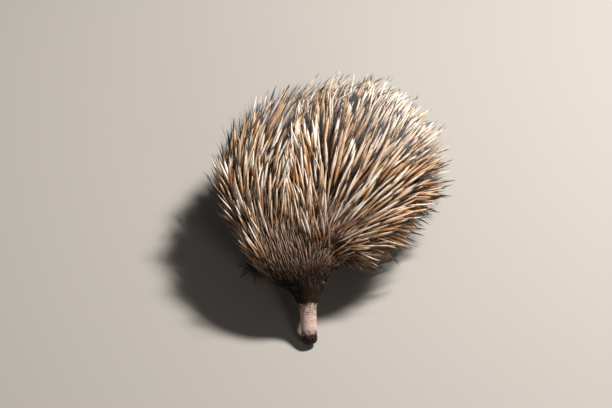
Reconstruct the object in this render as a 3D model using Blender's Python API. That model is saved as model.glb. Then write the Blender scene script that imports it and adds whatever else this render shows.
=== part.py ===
"""A life-size short-beaked echidna, still, standing with its head down and its beak to the ground.

The animal faces -Y, with +X on its own left side and the floor at z = 0. Its beak, head, neck, torso and
tail are lofts along one bent line, and each piece keeps a small gap to the next. The spines are set on the
neck, torso and tail by one rule for their length, their lean and how far they are raised.
"""

import collections
import math
import random

import bmesh
import bpy
import numpy as np
from mathutils import Matrix, Vector
from mathutils.bvhtree import BVHTree

MM = 0.001
GAP = 0.3 * MM
LEFT, RIGHT = 1, -1
UP = Vector((0, 0, 1))

# The line of the animal, from the beak's tip to the tail's, in millimetres and degrees. Each row is a
# section out to the ends of the short fur: where its middle is, how far the line climbs there, how far it
# is rolled towards the animal's left, and its half width, its height above the line and its depth below.
Section = collections.namedtuple("Section", "name x y z pitch roll width above below")
BODY_LINE = (
    Section("beak_tip", 1.6, 0.0, 4.4, 42, 7, 4.6, 3.8, 3.8),
    Section("nostrils", 1.5, 2.6, 6.6, 42, 7, 8.0, 6.4, 6.2),
    Section("beak_swell", 1.3, 8.9, 12.4, 42, 7, 9.2, 7.6, 7.4),
    Section("beak_middle", 0.6, 20.1, 22.4, 42, 7, 9.3, 7.9, 7.8),
    Section("hairline", -0.4, 34.9, 35.8, 42, 7, 11.3, 10.2, 10.4),
    Section("eyes", -1.6, 49.0, 48.2, 41, 7, 23.0, 18.0, 18.5),
    Section("brow", -5.5, 62.0, 59.0, 36, 8, 39.5, 24.5, 28.5),
    Section("nape", -9.0, 88.0, 71.5, 25, 6, 62.0, 32.0, 43.0),
    Section("neck", -5.0, 112.0, 77.5, 16, 3, 82.0, 37.5, 53.0),
    Section("shoulders", 4.0, 148.0, 79.0, 6, 0, 99.0, 41.0, 60.0),
    Section("middle", 14.0, 198.0, 77.0, 0, 0, 107.0, 43.5, 59.0),
    Section("loin", 31.0, 246.0, 74.0, -5, 0, 103.0, 43.0, 56.0),
    Section("rump", 52.0, 288.0, 68.0, -12, 0, 87.0, 40.0, 49.0),
    Section("seat", 71.0, 319.0, 60.0, -22, 0, 63.0, 34.0, 38.0),
    Section("tail_root", 84.0, 338.0, 52.5, -30, 0, 40.0, 26.0, 27.0),
    Section("tail_middle", 94.0, 355.0, 44.0, -35, 0, 23.0, 17.0, 16.0),
    Section("tail_tip", 102.0, 369.0, 36.0, -38, 0, 8.0, 7.0, 6.5),
)
SQUARENESS = 2.15
BEAK_RINGS, BEAK_SIDES = 11, 18
HEAD_RINGS, HEAD_SIDES = 8, 24
NECK_START = 10 * MM
NECK_END = 122 * MM
NECK_RINGS, TORSO_RINGS, TAIL_RINGS, TRUNK_SIDES = 5, 14, 5, 26

# The spines along the line, in millimetres and degrees: how long they are on the back and on the flanks, how
# far they are raised off the skin on the back and on the right flank, where round the back the two sides meet
# in a crest, where they part again on the left of it, and how far they lean down from straight back: from the
# crest to the parting, past the parting, on the left flank, at the crest's right, and on the right flank.
Coat = collections.namedtuple(
    "Coat",
    "name length flank_length raised right_raised crest parting left_top left_start left_flank right_top right_flank",
)
COAT = (
    Coat("nape", 34, 40, 27, 16, -12, 36, -20, 26, 34, -6, -4),
    Coat("neck", 44, 48, 34, 15, -13, 22, -22, 14, 38, -14, -26),
    Coat("shoulders", 51, 54, 39, 15, -15, 12, -22, 8, 40, -22, -34),
    Coat("middle", 57, 60, 39, 19, -19, 7, -20, 4, 36, -32, -28),
    Coat("loin", 60, 62, 39, 26, -22, 0, -14, -6, 33, -42, -20),
    Coat("rump", 60, 62, 40, 28, -12, 0, -14, -10, 25, -48, -16),
    Coat("seat", 54, 54, 38, 28, -4, 0, -10, -8, 18, -30, -6),
    Coat("tail_root", 44, 44, 34, 30, 0, 0, 0, 0, 16, -10, 6),
    Coat("tail_middle", 34, 34, 32, 32, 0, 0, 0, 0, 16, 0, 16),
    Coat("tail_tip", 26, 26, 28, 28, 0, 0, 0, 0, 16, 0, 16),
)
PARTING_HALF = math.radians(2.2)
CREST_HALF = math.radians(8)
# The spines begin along an arch, which is highest over the middle of the brow.
SPINES_ARCH = 17 * MM
BROW_MIDDLE = math.radians(-12)
ARCH_SPREAD = (math.radians(8), math.radians(52))
SEED = 11
SPINE_SPACING = 11.3 * MM
SPINE_RADIUS = 2.1 * MM
SPINE_SIDES = 3
SPINE_ROOT = 4 * MM
SPINE_BOW = 0.045
SPINE_SAMPLES = 16
FLANK_STARTS = 0.25
COAT_REACHES = math.radians(114)
COAT_SHORTENS = math.radians(75)
SHORTEST_SHARE = 0.7
THINNEST_SHARE = 0.62
FULL_LENGTH = 50 * MM
ROOT_MARGIN = 6 * MM
TRIES = 7
SPINE_CLEARANCE = 0.5 * MM

EYE_RADIUS = 4.3 * MM
EYE_ANGLE = math.radians(52)
EYE_SUNK = 3.2 * MM
LID_THICKNESS = 1.15 * MM
LID_FORWARD = 2.0 * MM
LID_SHAPE = (0.62, 1.18, 0.98)
LID_OPENING = Vector((3.4, 3.3, 2.5)) * MM
LID_OPENING_FORWARD = 5.2 * MM
EAR_BEHIND_EYE = 25 * MM
EAR_ANGLE = math.radians(88)
EAR_HALF = Vector((3.6, 3.8, 7.5)) * MM
EAR_CUP = Vector((3.2, 1.5, 5.0)) * MM
NOSTRIL_BEHIND_TIP = 5 * MM
NOSTRIL_HALF = Vector((0.75, 1.5, 0.9)) * MM
NOSTRIL_APART = 5.4 * MM
MOUTH_HALF = Vector((14, 9, 0.35)) * MM
MOUTH_DROP = 3.0 * MM

WRIST_HEIGHT = 17 * MM
TOE_HEIGHT = 4.8 * MM
TOE_SIDES = 8
LEG_SIDES = 14
LEG_STEPS = 6
CLAW_SIDES = 6
CLAW_STEPS = 4
CLAW_DROP = 3.3 * MM
CLAW_FLATNESS = 0.72

# A toe: its spread from the paw's heading, where negative is towards the first toe, its reach from the
# paw's middle, its radius, and its claw's length and sideways sweep, in degrees and millimetres.
Toe = collections.namedtuple("Toe", "spread reach radius claw sweep")
DIGGING_TOES = (
    Toe(-46, 22, 3.6, 14, -8),
    Toe(-23, 23, 4.0, 20, -4),
    Toe(0, 23, 4.2, 23, 0),
    Toe(23, 23, 4.0, 21, 4),
    Toe(46, 22, 3.6, 15, 8),
)
GROOMING_TOES = (
    Toe(-54, 19, 3.4, 8, 0),
    Toe(-26, 21, 4.0, 33, 26),
    Toe(-2, 22, 3.9, 23, 20),
    Toe(20, 21, 3.6, 16, 14),
    Toe(42, 20, 3.3, 12, 8),
)
# A paw: where its middle stands, which way its toes point, as a turn from straight ahead towards the
# animal's left, its half width, half length and height, and its leg: how far the leg's root is from the
# paw, inwards, back and up, and the leg's radii from the root down to the wrist.
Paw = collections.namedtuple("Paw", "name side x y heading half toes leg_reach leg_radii")
FRONT_LEG = ((-16, 14, 60), (25, 21, 16, 13.5))
HIND_LEG = ((-30, 8, 58), (28, 23, 16, 12.5))
PAWS = (
    Paw("front_left", LEFT, 56, 178, 14, (18, 16, 17), DIGGING_TOES, *FRONT_LEG),
    Paw("front_right", RIGHT, -50, 150, -16, (18, 16, 17), DIGGING_TOES, *FRONT_LEG),
    Paw("hind_left", LEFT, 104, 276, 112, (15, 17, 16), GROOMING_TOES, *HIND_LEG),
    Paw("hind_right", RIGHT, -32, 300, -92, (15, 17, 16), GROOMING_TOES, *HIND_LEG),
)


def clear_scene():
    for obj in list(bpy.data.objects):
        bpy.data.objects.remove(obj, do_unlink=True)


def finish_of(name, colour, roughness):
    """A plain material with this colour and roughness."""
    material = bpy.data.materials.new(name)
    material.use_nodes = True
    shader = material.node_tree.nodes["Principled BSDF"]
    shader.inputs["Base Color"].default_value = (*colour, 1.0)
    shader.inputs["Roughness"].default_value = roughness
    shader.inputs["Metallic"].default_value = 0.0
    return material


class SmoothTable:
    """Rows of numbers at rising distances, read on a smooth curve through them."""

    def __init__(self, places, rows):
        self.places = np.asarray(places, float)
        self.rows = np.asarray(rows, float)
        steps = np.diff(self.places)[:, None]
        slopes = np.diff(self.rows, axis=0) / steps
        inner = (slopes[:-1] * steps[1:] + slopes[1:] * steps[:-1]) / (steps[1:] + steps[:-1])
        self.slopes = np.vstack([slopes[:1], inner, slopes[-1:]])

    def at(self, place):
        place = min(max(place, self.places[0]), self.places[-1])
        i = min(int(np.searchsorted(self.places, place, side="right")) - 1, len(self.places) - 2)
        step = self.places[i + 1] - self.places[i]
        t = (place - self.places[i]) / step
        return (
            (2 * t**3 - 3 * t**2 + 1) * self.rows[i]
            + (t**3 - 2 * t**2 + t) * step * self.slopes[i]
            + (3 * t**2 - 2 * t**3) * self.rows[i + 1]
            + (t**3 - t**2) * step * self.slopes[i + 1]
        )


def smooth_step(low, high, value):
    """The value's share of the way from low to high, kept within it, on a smooth curve."""
    share = min(max((value - low) / (high - low), 0.0), 1.0)
    return share * share * (3 - 2 * share)


def section_places():
    """How far along the line each section is, from the beak's tip."""
    middles = [Vector((s.x, s.y, s.z)) * MM for s in BODY_LINE]
    places = [0.0]
    for before, after in zip(middles, middles[1:]):
        places.append(places[-1] + (after - before).length)
    return dict(zip((s.name for s in BODY_LINE), places))


PLACE = section_places()
MIDDLES = SmoothTable(list(PLACE.values()), [(s.x * MM, s.y * MM, s.z * MM) for s in BODY_LINE])
SHAPES = SmoothTable(
    list(PLACE.values()),
    [
        (math.radians(s.pitch), math.radians(s.roll), s.width * MM, s.above * MM, s.below * MM)
        for s in BODY_LINE
    ],
)
COATS = SmoothTable(
    [PLACE[c.name] for c in COAT],
    [(c.length * MM, c.flank_length * MM, *(math.radians(angle) for angle in c[3:])) for c in COAT],
)


def place_of_y(y):
    """How far along the line it reaches this far back from the beak's tip."""
    low, high = 0.0, PLACE["tail_tip"]
    for _ in range(40):
        half = (low + high) / 2
        if MIDDLES.at(half)[1] < y:
            low = half
        else:
            high = half
    return low


HEAD_END = PLACE["nape"] - NECK_START
NECK_SPAN = (HEAD_END + GAP / 2, place_of_y(NECK_END) - GAP / 2)
TORSO_SPAN = (place_of_y(NECK_END) + GAP / 2, PLACE["tail_root"] - GAP / 2)
TAIL_SPAN = (PLACE["tail_root"] + GAP / 2, PLACE["tail_tip"])


def body_frame(place):
    """The middle of the section at this place, and its directions: towards the tail, left and up."""
    middle = Vector(MIDDLES.at(place))
    ahead = Vector(MIDDLES.at(place + MM)) - Vector(MIDDLES.at(place - MM))
    heading = math.atan2(ahead.x, ahead.y)
    pitch, roll = SHAPES.at(place)[:2]
    tail_way = Vector(
        (math.sin(heading) * math.cos(pitch), math.cos(heading) * math.cos(pitch), math.sin(pitch))
    )
    left = Vector((math.cos(heading), -math.sin(heading), 0))
    up = left.cross(tail_way)
    left, up = left * math.cos(roll) - up * math.sin(roll), up * math.cos(roll) + left * math.sin(roll)
    return middle, tail_way, left, up


def skin_point(place, angle, swell=0.0):
    """A point of the skin. Angle 0 is the middle of the back, and a quarter turn is the left flank."""
    middle, _, left, up = body_frame(place)
    width, above, below = SHAPES.at(place)[2:]
    side, rise = math.sin(angle), math.cos(angle)
    bulge = (abs(side) ** SQUARENESS + abs(rise) ** SQUARENESS) ** (-1 / SQUARENESS)
    height = above if rise > 0 else below
    return middle + left * side * bulge * (width + swell) + up * rise * bulge * (height + swell)


def skin_frame(place, angle):
    """A point of the skin with its directions there: towards the tail, round towards the left, and out."""
    step = 0.5 * MM
    turn = math.radians(1)
    point = skin_point(place, angle)
    back = (skin_point(place + step, angle) - skin_point(place - step, angle)).normalized()
    around = (skin_point(place, angle + turn) - skin_point(place, angle - turn)).normalized()
    out = around.cross(back).normalized()
    return point, back, around, -out if out.dot(point - body_frame(place)[0]) < 0 else out


def mesh_object(name, shape):
    """A finished bmesh as a named object."""
    bmesh.ops.recalc_face_normals(shape, faces=shape.faces)
    mesh = bpy.data.meshes.new(name)
    shape.to_mesh(mesh)
    shape.free()
    obj = bpy.data.objects.new(name, mesh)
    bpy.context.scene.collection.objects.link(obj)
    return obj


def loft(name, rings):
    """A closed solid through rings of points. A last ring of one point closes the end to a tip."""
    shape = bmesh.new()
    loops = [[shape.verts.new(point) for point in ring] for ring in rings]
    for first, second in zip(loops, loops[1:]):
        count = len(first)
        for i in range(count):
            j = (i + 1) % count
            if len(second) == 1:
                shape.faces.new((first[i], first[j], second[0]))
            else:
                shape.faces.new((first[i], first[j], second[j], second[i]))
    for end in (loops[0], loops[-1]):
        if len(end) > 2:
            shape.faces.new(end)
    return mesh_object(name, shape)


def body_loft(name, span, rings, sides, swell=0.0):
    """The part of the body along a span of its line, with its sections grown by swell."""
    start, end = span
    places = [start + (end - start) * i / (rings - 1) for i in range(rings)]
    angles = [2 * math.pi * i / sides for i in range(sides)]
    return loft(name, [[skin_point(place, angle, swell) for angle in angles] for place in places])


def ellipsoid(name, middle, half, turn, rings, sides):
    """An ellipsoid with these half sizes along its own axes, turned by a rotation matrix."""
    shape = bmesh.new()
    bmesh.ops.create_uvsphere(shape, u_segments=sides, v_segments=rings, radius=1.0)
    place = Matrix.Translation(middle) @ turn.to_4x4() @ Matrix.Diagonal((*half, 1.0))
    bmesh.ops.transform(shape, matrix=place, verts=shape.verts)
    return mesh_object(name, shape)


def box(name, middle, half, turn):
    """A box with these half sizes along its own axes, turned by a rotation matrix."""
    shape = bmesh.new()
    bmesh.ops.create_cube(shape, size=2.0)
    place = Matrix.Translation(middle) @ turn.to_4x4() @ Matrix.Diagonal((*half, 1.0))
    bmesh.ops.transform(shape, matrix=place, verts=shape.verts)
    return mesh_object(name, shape)


def keep_largest(obj):
    """Leaves only the largest closed surface of a mesh."""
    shape = bmesh.new()
    shape.from_mesh(obj.data)
    unseen = set(shape.faces)
    pieces = []
    while unseen:
        piece, edge_of_piece = set(), [unseen.pop()]
        while edge_of_piece:
            face = edge_of_piece.pop()
            piece.add(face)
            for edge in face.edges:
                for other in edge.link_faces:
                    if other in unseen:
                        unseen.remove(other)
                        edge_of_piece.append(other)
        pieces.append(piece)
    pieces.sort(key=lambda piece: sum(face.calc_area() for face in piece))
    loose = [face for piece in pieces[:-1] for face in piece]
    bmesh.ops.delete(shape, geom=loose, context="FACES")
    bmesh.ops.dissolve_degenerate(shape, edges=shape.edges, dist=0.002 * MM)
    shape.to_mesh(obj.data)
    shape.free()


def combine(obj, others, operation):
    """Joins closed meshes to obj, or cuts them from it, in one Boolean, and removes them."""
    pieces = bpy.data.collections.new("pieces")
    for other in others:
        pieces.objects.link(other)
    modifier = obj.modifiers.new("combine", "BOOLEAN")
    modifier.operation = operation
    modifier.operand_type = "COLLECTION"
    modifier.collection = pieces
    modifier.solver = "MANIFOLD"
    bpy.context.view_layer.update()
    graph = bpy.context.evaluated_depsgraph_get()
    mesh = bpy.data.meshes.new_from_object(obj.evaluated_get(graph))
    obj.modifiers.clear()
    obj.data = mesh
    for other in others:
        bpy.data.objects.remove(other, do_unlink=True)
    bpy.data.collections.remove(pieces)
    keep_largest(obj)
    return obj


def facing(out):
    """The rotation whose X axis points out and whose Z axis is as near to straight up as it can be."""
    out = out.normalized()
    side = UP.cross(out).normalized()
    return Matrix((out, side, out.cross(side))).transposed()


def build_beak():
    """The bare beak, with two nostrils on its tip and the short line of the mouth under them."""
    beak = body_loft("beak", (0.0, PLACE["hairline"] - GAP / 2), BEAK_RINGS, BEAK_SIDES)
    middle, tail_way, left, up = body_frame(NOSTRIL_BEHIND_TIP)
    turn = Matrix((left, tail_way, up)).transposed()
    top = SHAPES.at(NOSTRIL_BEHIND_TIP)[3]
    cuts = []
    for side in (LEFT, RIGHT):
        at = middle + up * top * 0.9 + left * side * NOSTRIL_APART / 2
        cuts.append(ellipsoid("nostril", at, NOSTRIL_HALF, turn, 6, 8))
    tip = body_frame(0.0)[0]
    cuts.append(box("mouth", tip - up * MOUTH_DROP, MOUTH_HALF, turn))
    return combine(beak, cuts, "DIFFERENCE")


def eye_frame(side):
    """The middle of an eye and the way it looks."""
    point, _, _, out = skin_frame(PLACE["eyes"], side * EYE_ANGLE)
    return point - out * EYE_SUNK, out


def head_loft(name, swell):
    """The head without eyes, from the beak's root to the nape."""
    span = (PLACE["hairline"] + GAP / 2, HEAD_END - GAP / 2)
    return body_loft(name, span, HEAD_RINGS, HEAD_SIDES, swell)


def build_head():
    """The head, with an eye socket and a ring of lids on each side."""
    head = head_loft("head", 0.0)
    lids, openings = [], []
    for side in (LEFT, RIGHT):
        middle, out = eye_frame(side)
        lid_half = Vector(LID_SHAPE) * (EYE_RADIUS + LID_THICKNESS)
        lids.append(ellipsoid("lid", middle + out * LID_FORWARD, lid_half, facing(out), 8, 10))
        socket_half = [EYE_RADIUS + GAP] * 3
        openings.append(ellipsoid("socket", middle, socket_half, Matrix.Identity(3), 8, 12))
        at = middle + out * LID_OPENING_FORWARD
        openings.append(ellipsoid("lid_opening", at, LID_OPENING, facing(out), 6, 10))
    combine(head, lids, "UNION")
    return combine(head, openings, "DIFFERENCE")


def side_name(kind, side):
    return f"{kind}_{'left' if side == LEFT else 'right'}"


def build_eye(side):
    middle = eye_frame(side)[0]
    return ellipsoid(side_name("eye", side), middle, [EYE_RADIUS] * 3, Matrix.Identity(3), 8, 12)


def build_ear(side):
    """A low fleshy cup round an upright slit, behind the eye."""
    point, _, _, out = skin_frame(PLACE["eyes"] + EAR_BEHIND_EYE, side * EAR_ANGLE)
    turn = facing(out)
    ear = ellipsoid(side_name("ear", side), point, EAR_HALF, turn, 8, 12)
    cup = ellipsoid("ear_cup", point + out * EAR_HALF.x * 0.9, EAR_CUP, turn, 6, 8)
    return combine(ear, [cup, head_loft("head_room", GAP)], "DIFFERENCE")


def tube_ring(middle, along, half_across, half_rise, sides, up=UP):
    """A ring round a path that runs along a direction."""
    across = along.cross(up).normalized()
    rise = across.cross(along).normalized()
    angles = [2 * math.pi * i / sides for i in range(sides)]
    return [middle + across * half_across * math.cos(a) + rise * half_rise * math.sin(a) for a in angles]


def paw_middle(paw):
    return Vector((paw.x, paw.y, 0)) * MM


def toe_frame(paw, toe):
    """Where a toe ends and its claw begins, and the level direction that it points in."""
    turn = Matrix.Rotation(math.radians(paw.heading + paw.side * toe.spread), 3, "Z")
    way = turn @ Vector((0, -1, 0))
    return paw_middle(paw) + way * toe.reach * MM + UP * TOE_HEIGHT, way


def build_toe(paw, toe):
    end, way = toe_frame(paw, toe)
    root = paw_middle(paw) + way * 5 * MM + UP * (TOE_HEIGHT + 1.5 * MM)
    knuckle = end - way * 3 * MM + UP * 0.6 * MM
    radius = toe.radius * MM
    rings = [
        tube_ring(root, way, radius * 1.25, radius * 1.25, TOE_SIDES),
        tube_ring(knuckle, way, radius, radius, TOE_SIDES),
        tube_ring(end, way, radius * 0.82, radius * 0.82, TOE_SIDES),
    ]
    return loft("toe", rings)


def build_foot(paw):
    """A paw: a pad that is flat underneath, a wrist, and a short toe for each claw."""
    middle = paw_middle(paw)
    turn = Matrix.Rotation(math.radians(paw.heading), 3, "Z")
    foot = ellipsoid("foot_" + paw.name, middle + UP * 2 * MM, Vector(paw.half) * MM, turn, 8, 14)
    wrist = paw.leg_radii[-1] * MM
    forward = Vector((0, 1, 0))
    rings = [
        tube_ring(middle + UP * 6 * MM, UP, wrist * 0.9, wrist * 0.9, LEG_SIDES, forward),
        tube_ring(middle + UP * WRIST_HEIGHT, UP, wrist, wrist, LEG_SIDES, forward),
    ]
    combine(foot, [loft("wrist", rings)] + [build_toe(paw, toe) for toe in paw.toes], "UNION")
    half = Vector((80, 80, 20)) * MM
    floor = box("floor", middle - UP * half.z, half, Matrix.Identity(3))
    top = middle + UP * (WRIST_HEIGHT - GAP / 2 + half.z)
    return combine(foot, [floor, box("above", top, half, Matrix.Identity(3))], "DIFFERENCE")


def build_claw(paw, toe, number):
    """One long, flattened claw, curved down to a blunt tip just clear of the floor."""
    end, way = toe_frame(paw, toe)
    base = toe.radius * 0.76 * MM
    rings = []
    for i in range(CLAW_STEPS + 1):
        share = i / CLAW_STEPS
        turned = Matrix.Rotation(math.radians(toe.sweep) * paw.side * share, 3, "Z") @ way
        middle = end + way * GAP + turned * toe.claw * MM * share - UP * CLAW_DROP * share**1.6
        radius = base * (1 - 0.72 * share**1.5)
        rings.append(tube_ring(middle, turned, radius, radius * CLAW_FLATNESS, CLAW_SIDES))
    return loft(f"claw_{paw.name}_{number}", rings)


def build_leg(paw):
    """A short leg from under the body down to its paw."""
    inwards, back, height = paw.leg_reach
    foot = paw_middle(paw)
    root = foot + Vector((inwards * paw.side, back, height)) * MM
    ankle = foot + UP * (WRIST_HEIGHT + GAP / 2)
    knee = foot.lerp(root, 0.35) + UP * WRIST_HEIGHT * 0.9 + Vector((4 * MM * paw.side, 0, 0))
    path = SmoothTable([0.0, 0.45, 1.0], [tuple(root), tuple(knee), tuple(ankle)])
    radii = SmoothTable([0.0, 0.35, 0.7, 1.0], [(r * MM,) for r in paw.leg_radii])
    rings = []
    for i in range(LEG_STEPS + 1):
        share = i / LEG_STEPS
        radius = radii.at(share)[0]
        rings.append(tube_ring(Vector(path.at(share)), UP, radius, radius, LEG_SIDES, Vector((0, 1, 0))))
    leg = loft("leg_" + paw.name, rings)
    rooms = [
        body_loft("torso_room", TORSO_SPAN, TORSO_RINGS, TRUNK_SIDES, GAP),
        body_loft("neck_room", NECK_SPAN, NECK_RINGS, TRUNK_SIDES, GAP),
    ]
    return combine(leg, rooms, "DIFFERENCE")


def first_spine_place(angle):
    """How far along the line the spines begin, at this angle round the body."""
    risen = 1.5 * smooth_step(*ARCH_SPREAD, abs(angle - BROW_MIDDLE)) - 0.5
    return PLACE["nape"] - SPINES_ARCH * risen


def spine_lean(angle, crest, parting, leans):
    """How far the spines at this angle lean down from straight back."""
    left_top, left_start, left_flank, right_top, right_flank = leans
    if angle < crest:
        share = min((crest - angle) / (math.pi / 2), 1.25)
        lean = right_top + (right_flank - right_top) * share
    else:
        past = min(max((angle - parting) / (math.pi / 2 - parting), 0.0), 1.25)
        parted = left_start + (left_flank - left_start) * past
        lean = left_top + (parted - left_top) * smooth_step(-PARTING_HALF, PARTING_HALF, angle - parting)
    return lean * smooth_step(0, CREST_HALF, abs(angle - crest))


class Spine:
    """One spine: a root on the skin, a slightly bowed shaft and a pointed tip."""

    def __init__(self, place, angle, turn, rise, size):
        length, flank_length, raised, right_raised, crest, parting, *leans = COATS.at(place)
        point, back, around, out = skin_frame(place, angle)
        side = math.copysign(1, angle - crest)
        share = min(abs(angle - crest) / (math.pi / 2), 1.25)
        lean = spine_lean(angle, crest, parting, leans) + turn
        if side == RIGHT:
            raised += (right_raised - raised) * min(share, 1.0)
        raised += rise
        length += (flank_length - length) * smooth_step(FLANK_STARTS, 1.0, share)
        flat = back * math.cos(lean) + around * side * math.sin(lean)
        self.out = out
        self.way = (flat * math.cos(raised) + out * math.sin(raised)).normalized()
        fading = max(abs(angle) - COAT_SHORTENS, 0.0) / (COAT_REACHES - COAT_SHORTENS)
        self.length = length * size * (1 - (1 - SHORTEST_SHARE) * fading)
        thickness = THINNEST_SHARE + (1 - THINNEST_SHARE) * min(self.length / FULL_LENGTH, 1.0)
        self.radius = SPINE_RADIUS * thickness
        self.root = point
        shares = np.linspace(0.0, 1.0, SPINE_SAMPLES)
        self.points = np.array([self.at(share) for share in shares])
        self.radii = np.array([self.radius_at(share) for share in shares])

    def at(self, share):
        bow = self.out * self.length * SPINE_BOW * 4 * share * (1 - share)
        return self.root + self.way * self.length * share + bow

    def radius_at(self, share):
        return self.radius * (1 - max(share - 0.5, 0.0) * 1.7)

    def solid(self):
        sunk = self.root - self.way * SPINE_ROOT
        middle = self.at(0.5)
        rings = [
            tube_ring(sunk, self.way, self.radius, self.radius, SPINE_SIDES, self.out),
            tube_ring(middle, self.way, self.radius * 0.9, self.radius * 0.9, SPINE_SIDES, self.out),
            [self.at(1.0)],
        ]
        return loft("spine", rings)


def surface_tree(obj):
    """A search tree over the faces of an object."""
    mesh = obj.data
    return BVHTree.FromPolygons([v.co for v in mesh.vertices], [p.vertices for p in mesh.polygons])


def inside(tree, point):
    """Whether a point is inside the closed surface, by how often a line straight up from it crosses it."""
    crossings = 0
    hit = tree.ray_cast(point, UP)[0]
    while hit:
        crossings += 1
        hit = tree.ray_cast(hit + UP * 0.001 * MM, UP)[0]
    return crossings % 2 == 1


def clears_solids(spine, trees, first=0):
    """Whether the spine's points from this one on stay outside these solids."""
    for point, radius in zip(spine.points[first:], spine.radii[first:]):
        point = Vector(point)
        for tree in trees:
            if tree.find_nearest(point)[3] < radius + SPINE_CLEARANCE or inside(tree, point):
                return False
    return True


def clears_spines(spine, others):
    """Whether the spine stays clear of all the spines before it."""
    for other in others:
        if np.linalg.norm(other.points[0] - spine.points[0]) > other.length + spine.length:
            continue
        apart = np.linalg.norm(other.points[:, None] - spine.points[None], axis=2)
        if (apart - other.radii[:, None] - spine.radii[None]).min() < SPINE_CLEARANCE:
            return False
    return True


def spine_roots(span, draw):
    """Evenly spread roots on a span of the body's line, as places and angles, each moved a little."""
    start, end = span[0] + ROOT_MARGIN, span[1] - ROOT_MARGIN
    rows = max(1, round((end - start) / SPINE_SPACING))
    for row in range(rows + 1):
        place = start + (end - start) * row / rows
        steps = [skin_point(place, COAT_REACHES * (2 * i / 40 - 1)) for i in range(41)]
        arc = sum((after - before).length for before, after in zip(steps, steps[1:]))
        count = round(arc / SPINE_SPACING)
        for i in range(count):
            share = (i + 0.25 + 0.5 * (row % 2) + draw.uniform(-0.2, 0.2)) / count
            moved = min(max(place + draw.uniform(-0.22, 0.22) * SPINE_SPACING, start), end)
            angle = COAT_REACHES * (2 * share - 1)
            if moved > first_spine_place(angle):
                yield moved, angle


def grow_spines(node, span, own_tree, other_trees, grown, draw):
    """Sets spines on a node wherever one fits clear of the others and of the other nodes."""
    solids = []
    for place, angle in spine_roots(span, draw):
        size = draw.uniform(0.88, 1.08)
        for attempt in range(TRIES):
            spread = math.radians(2 + 2.5 * attempt)
            turn, rise = draw.uniform(-spread, spread), draw.uniform(-spread, spread) * 0.8
            spine = Spine(place, angle, turn, rise, size)
            clear = clears_solids(spine, other_trees) and clears_solids(spine, [own_tree], 5)
            if clear and clears_spines(spine, grown):
                grown.append(spine)
                solids.append(spine.solid())
                break
    return combine(node, solids, "UNION")


def centre_on_floor(objects):
    """Moves everything so that the middle of its box, seen from above, is at the origin."""
    corners = np.array([v.co for obj in objects for v in obj.data.vertices])
    middle = (corners.min(axis=0) + corners.max(axis=0)) / 2
    shift = Matrix.Translation((-middle[0], -middle[1], 0))
    for obj in objects:
        obj.data.transform(shift)


def build_trunk(limbs, head):
    """The neck, torso and tail with their spines, clear of the limbs, the head and each other."""
    parts = (
        ("neck", NECK_SPAN, NECK_RINGS),
        ("torso", TORSO_SPAN, TORSO_RINGS),
        ("tail", TAIL_SPAN, TAIL_RINGS),
    )
    nodes = [body_loft(name, span, rings, TRUNK_SIDES) for name, span, rings in parts]
    trees = [surface_tree(node) for node in nodes]
    around = [surface_tree(obj) for obj in limbs + [head]]
    grown = []
    draw = random.Random(SEED)
    for i, node in enumerate(nodes):
        others = trees[:i] + trees[i + 1 :] + around
        grow_spines(node, parts[i][1], trees[i], others, grown, draw)
    return nodes


def main():
    clear_scene()
    skin = finish_of("bare_skin", (0.235, 0.185, 0.165), 0.62)
    fur = finish_of("short_fur", (0.085, 0.055, 0.042), 0.9)
    spines = finish_of("spines", (0.66, 0.50, 0.32), 0.42)
    horn = finish_of("claw_horn", (0.13, 0.10, 0.085), 0.4)
    wet = finish_of("eye", (0.012, 0.010, 0.010), 0.08)
    head = build_head()
    made = [(build_beak(), skin), (head, fur)]
    for side in (LEFT, RIGHT):
        made.append((build_eye(side), wet))
        made.append((build_ear(side), skin))
    limbs = []
    for paw in PAWS:
        limbs.append((build_leg(paw), fur))
        limbs.append((build_foot(paw), skin))
        for number, toe in enumerate(paw.toes, 1):
            limbs.append((build_claw(paw, toe, number), horn))
    for node in build_trunk([obj for obj, _ in limbs], head):
        made.append((node, spines))
    made += limbs
    echidna = bpy.data.collections.new("echidna")
    bpy.context.scene.collection.children.link(echidna)
    for obj, material in made:
        obj.data.materials.clear()
        obj.data.materials.append(material)
        bpy.context.scene.collection.objects.unlink(obj)
        echidna.objects.link(obj)
    centre_on_floor([obj for obj, _ in made])


main()
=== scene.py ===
"""The looks of a life-size short-beaked echidna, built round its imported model.

One skin runs along the same bent line as the model's body, a little inside it, and takes in the legs and
feet. The coat grows from it: long spines on the neck, back and tail, fine bristles on the forehead, dark
hair between the spines, and short fur on the face, belly and legs.
"""

import collections
import math

import bmesh
import bpy
import numpy as np
from mathutils import Matrix, Vector
from mathutils.bvhtree import BVHTree


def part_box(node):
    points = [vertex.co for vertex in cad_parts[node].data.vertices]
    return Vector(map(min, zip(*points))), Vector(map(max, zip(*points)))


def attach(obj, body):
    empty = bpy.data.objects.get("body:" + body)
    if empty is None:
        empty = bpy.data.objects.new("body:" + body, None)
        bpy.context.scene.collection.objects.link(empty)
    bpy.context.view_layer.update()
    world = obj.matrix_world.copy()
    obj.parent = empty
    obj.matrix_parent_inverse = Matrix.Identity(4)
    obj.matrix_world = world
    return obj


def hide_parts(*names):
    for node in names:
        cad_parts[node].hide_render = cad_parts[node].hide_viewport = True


MM = 0.001
LEFT, RIGHT = 1, -1
UP = np.array((0.0, 0.0, 1.0))

# The camera: where the beak's tip is in the picture, how large a pixel is there, and how it looks down.
PICTURE_SIZE = (612, 408)
TIP_IN_PICTURE = (309.5, 345)
PIXEL_AT_TIP = 1.15 * MM
CAMERA_AWAY = 2.5
CAMERA_DOWN = math.radians(40)
SENSOR_WIDTH = 36.0

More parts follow.
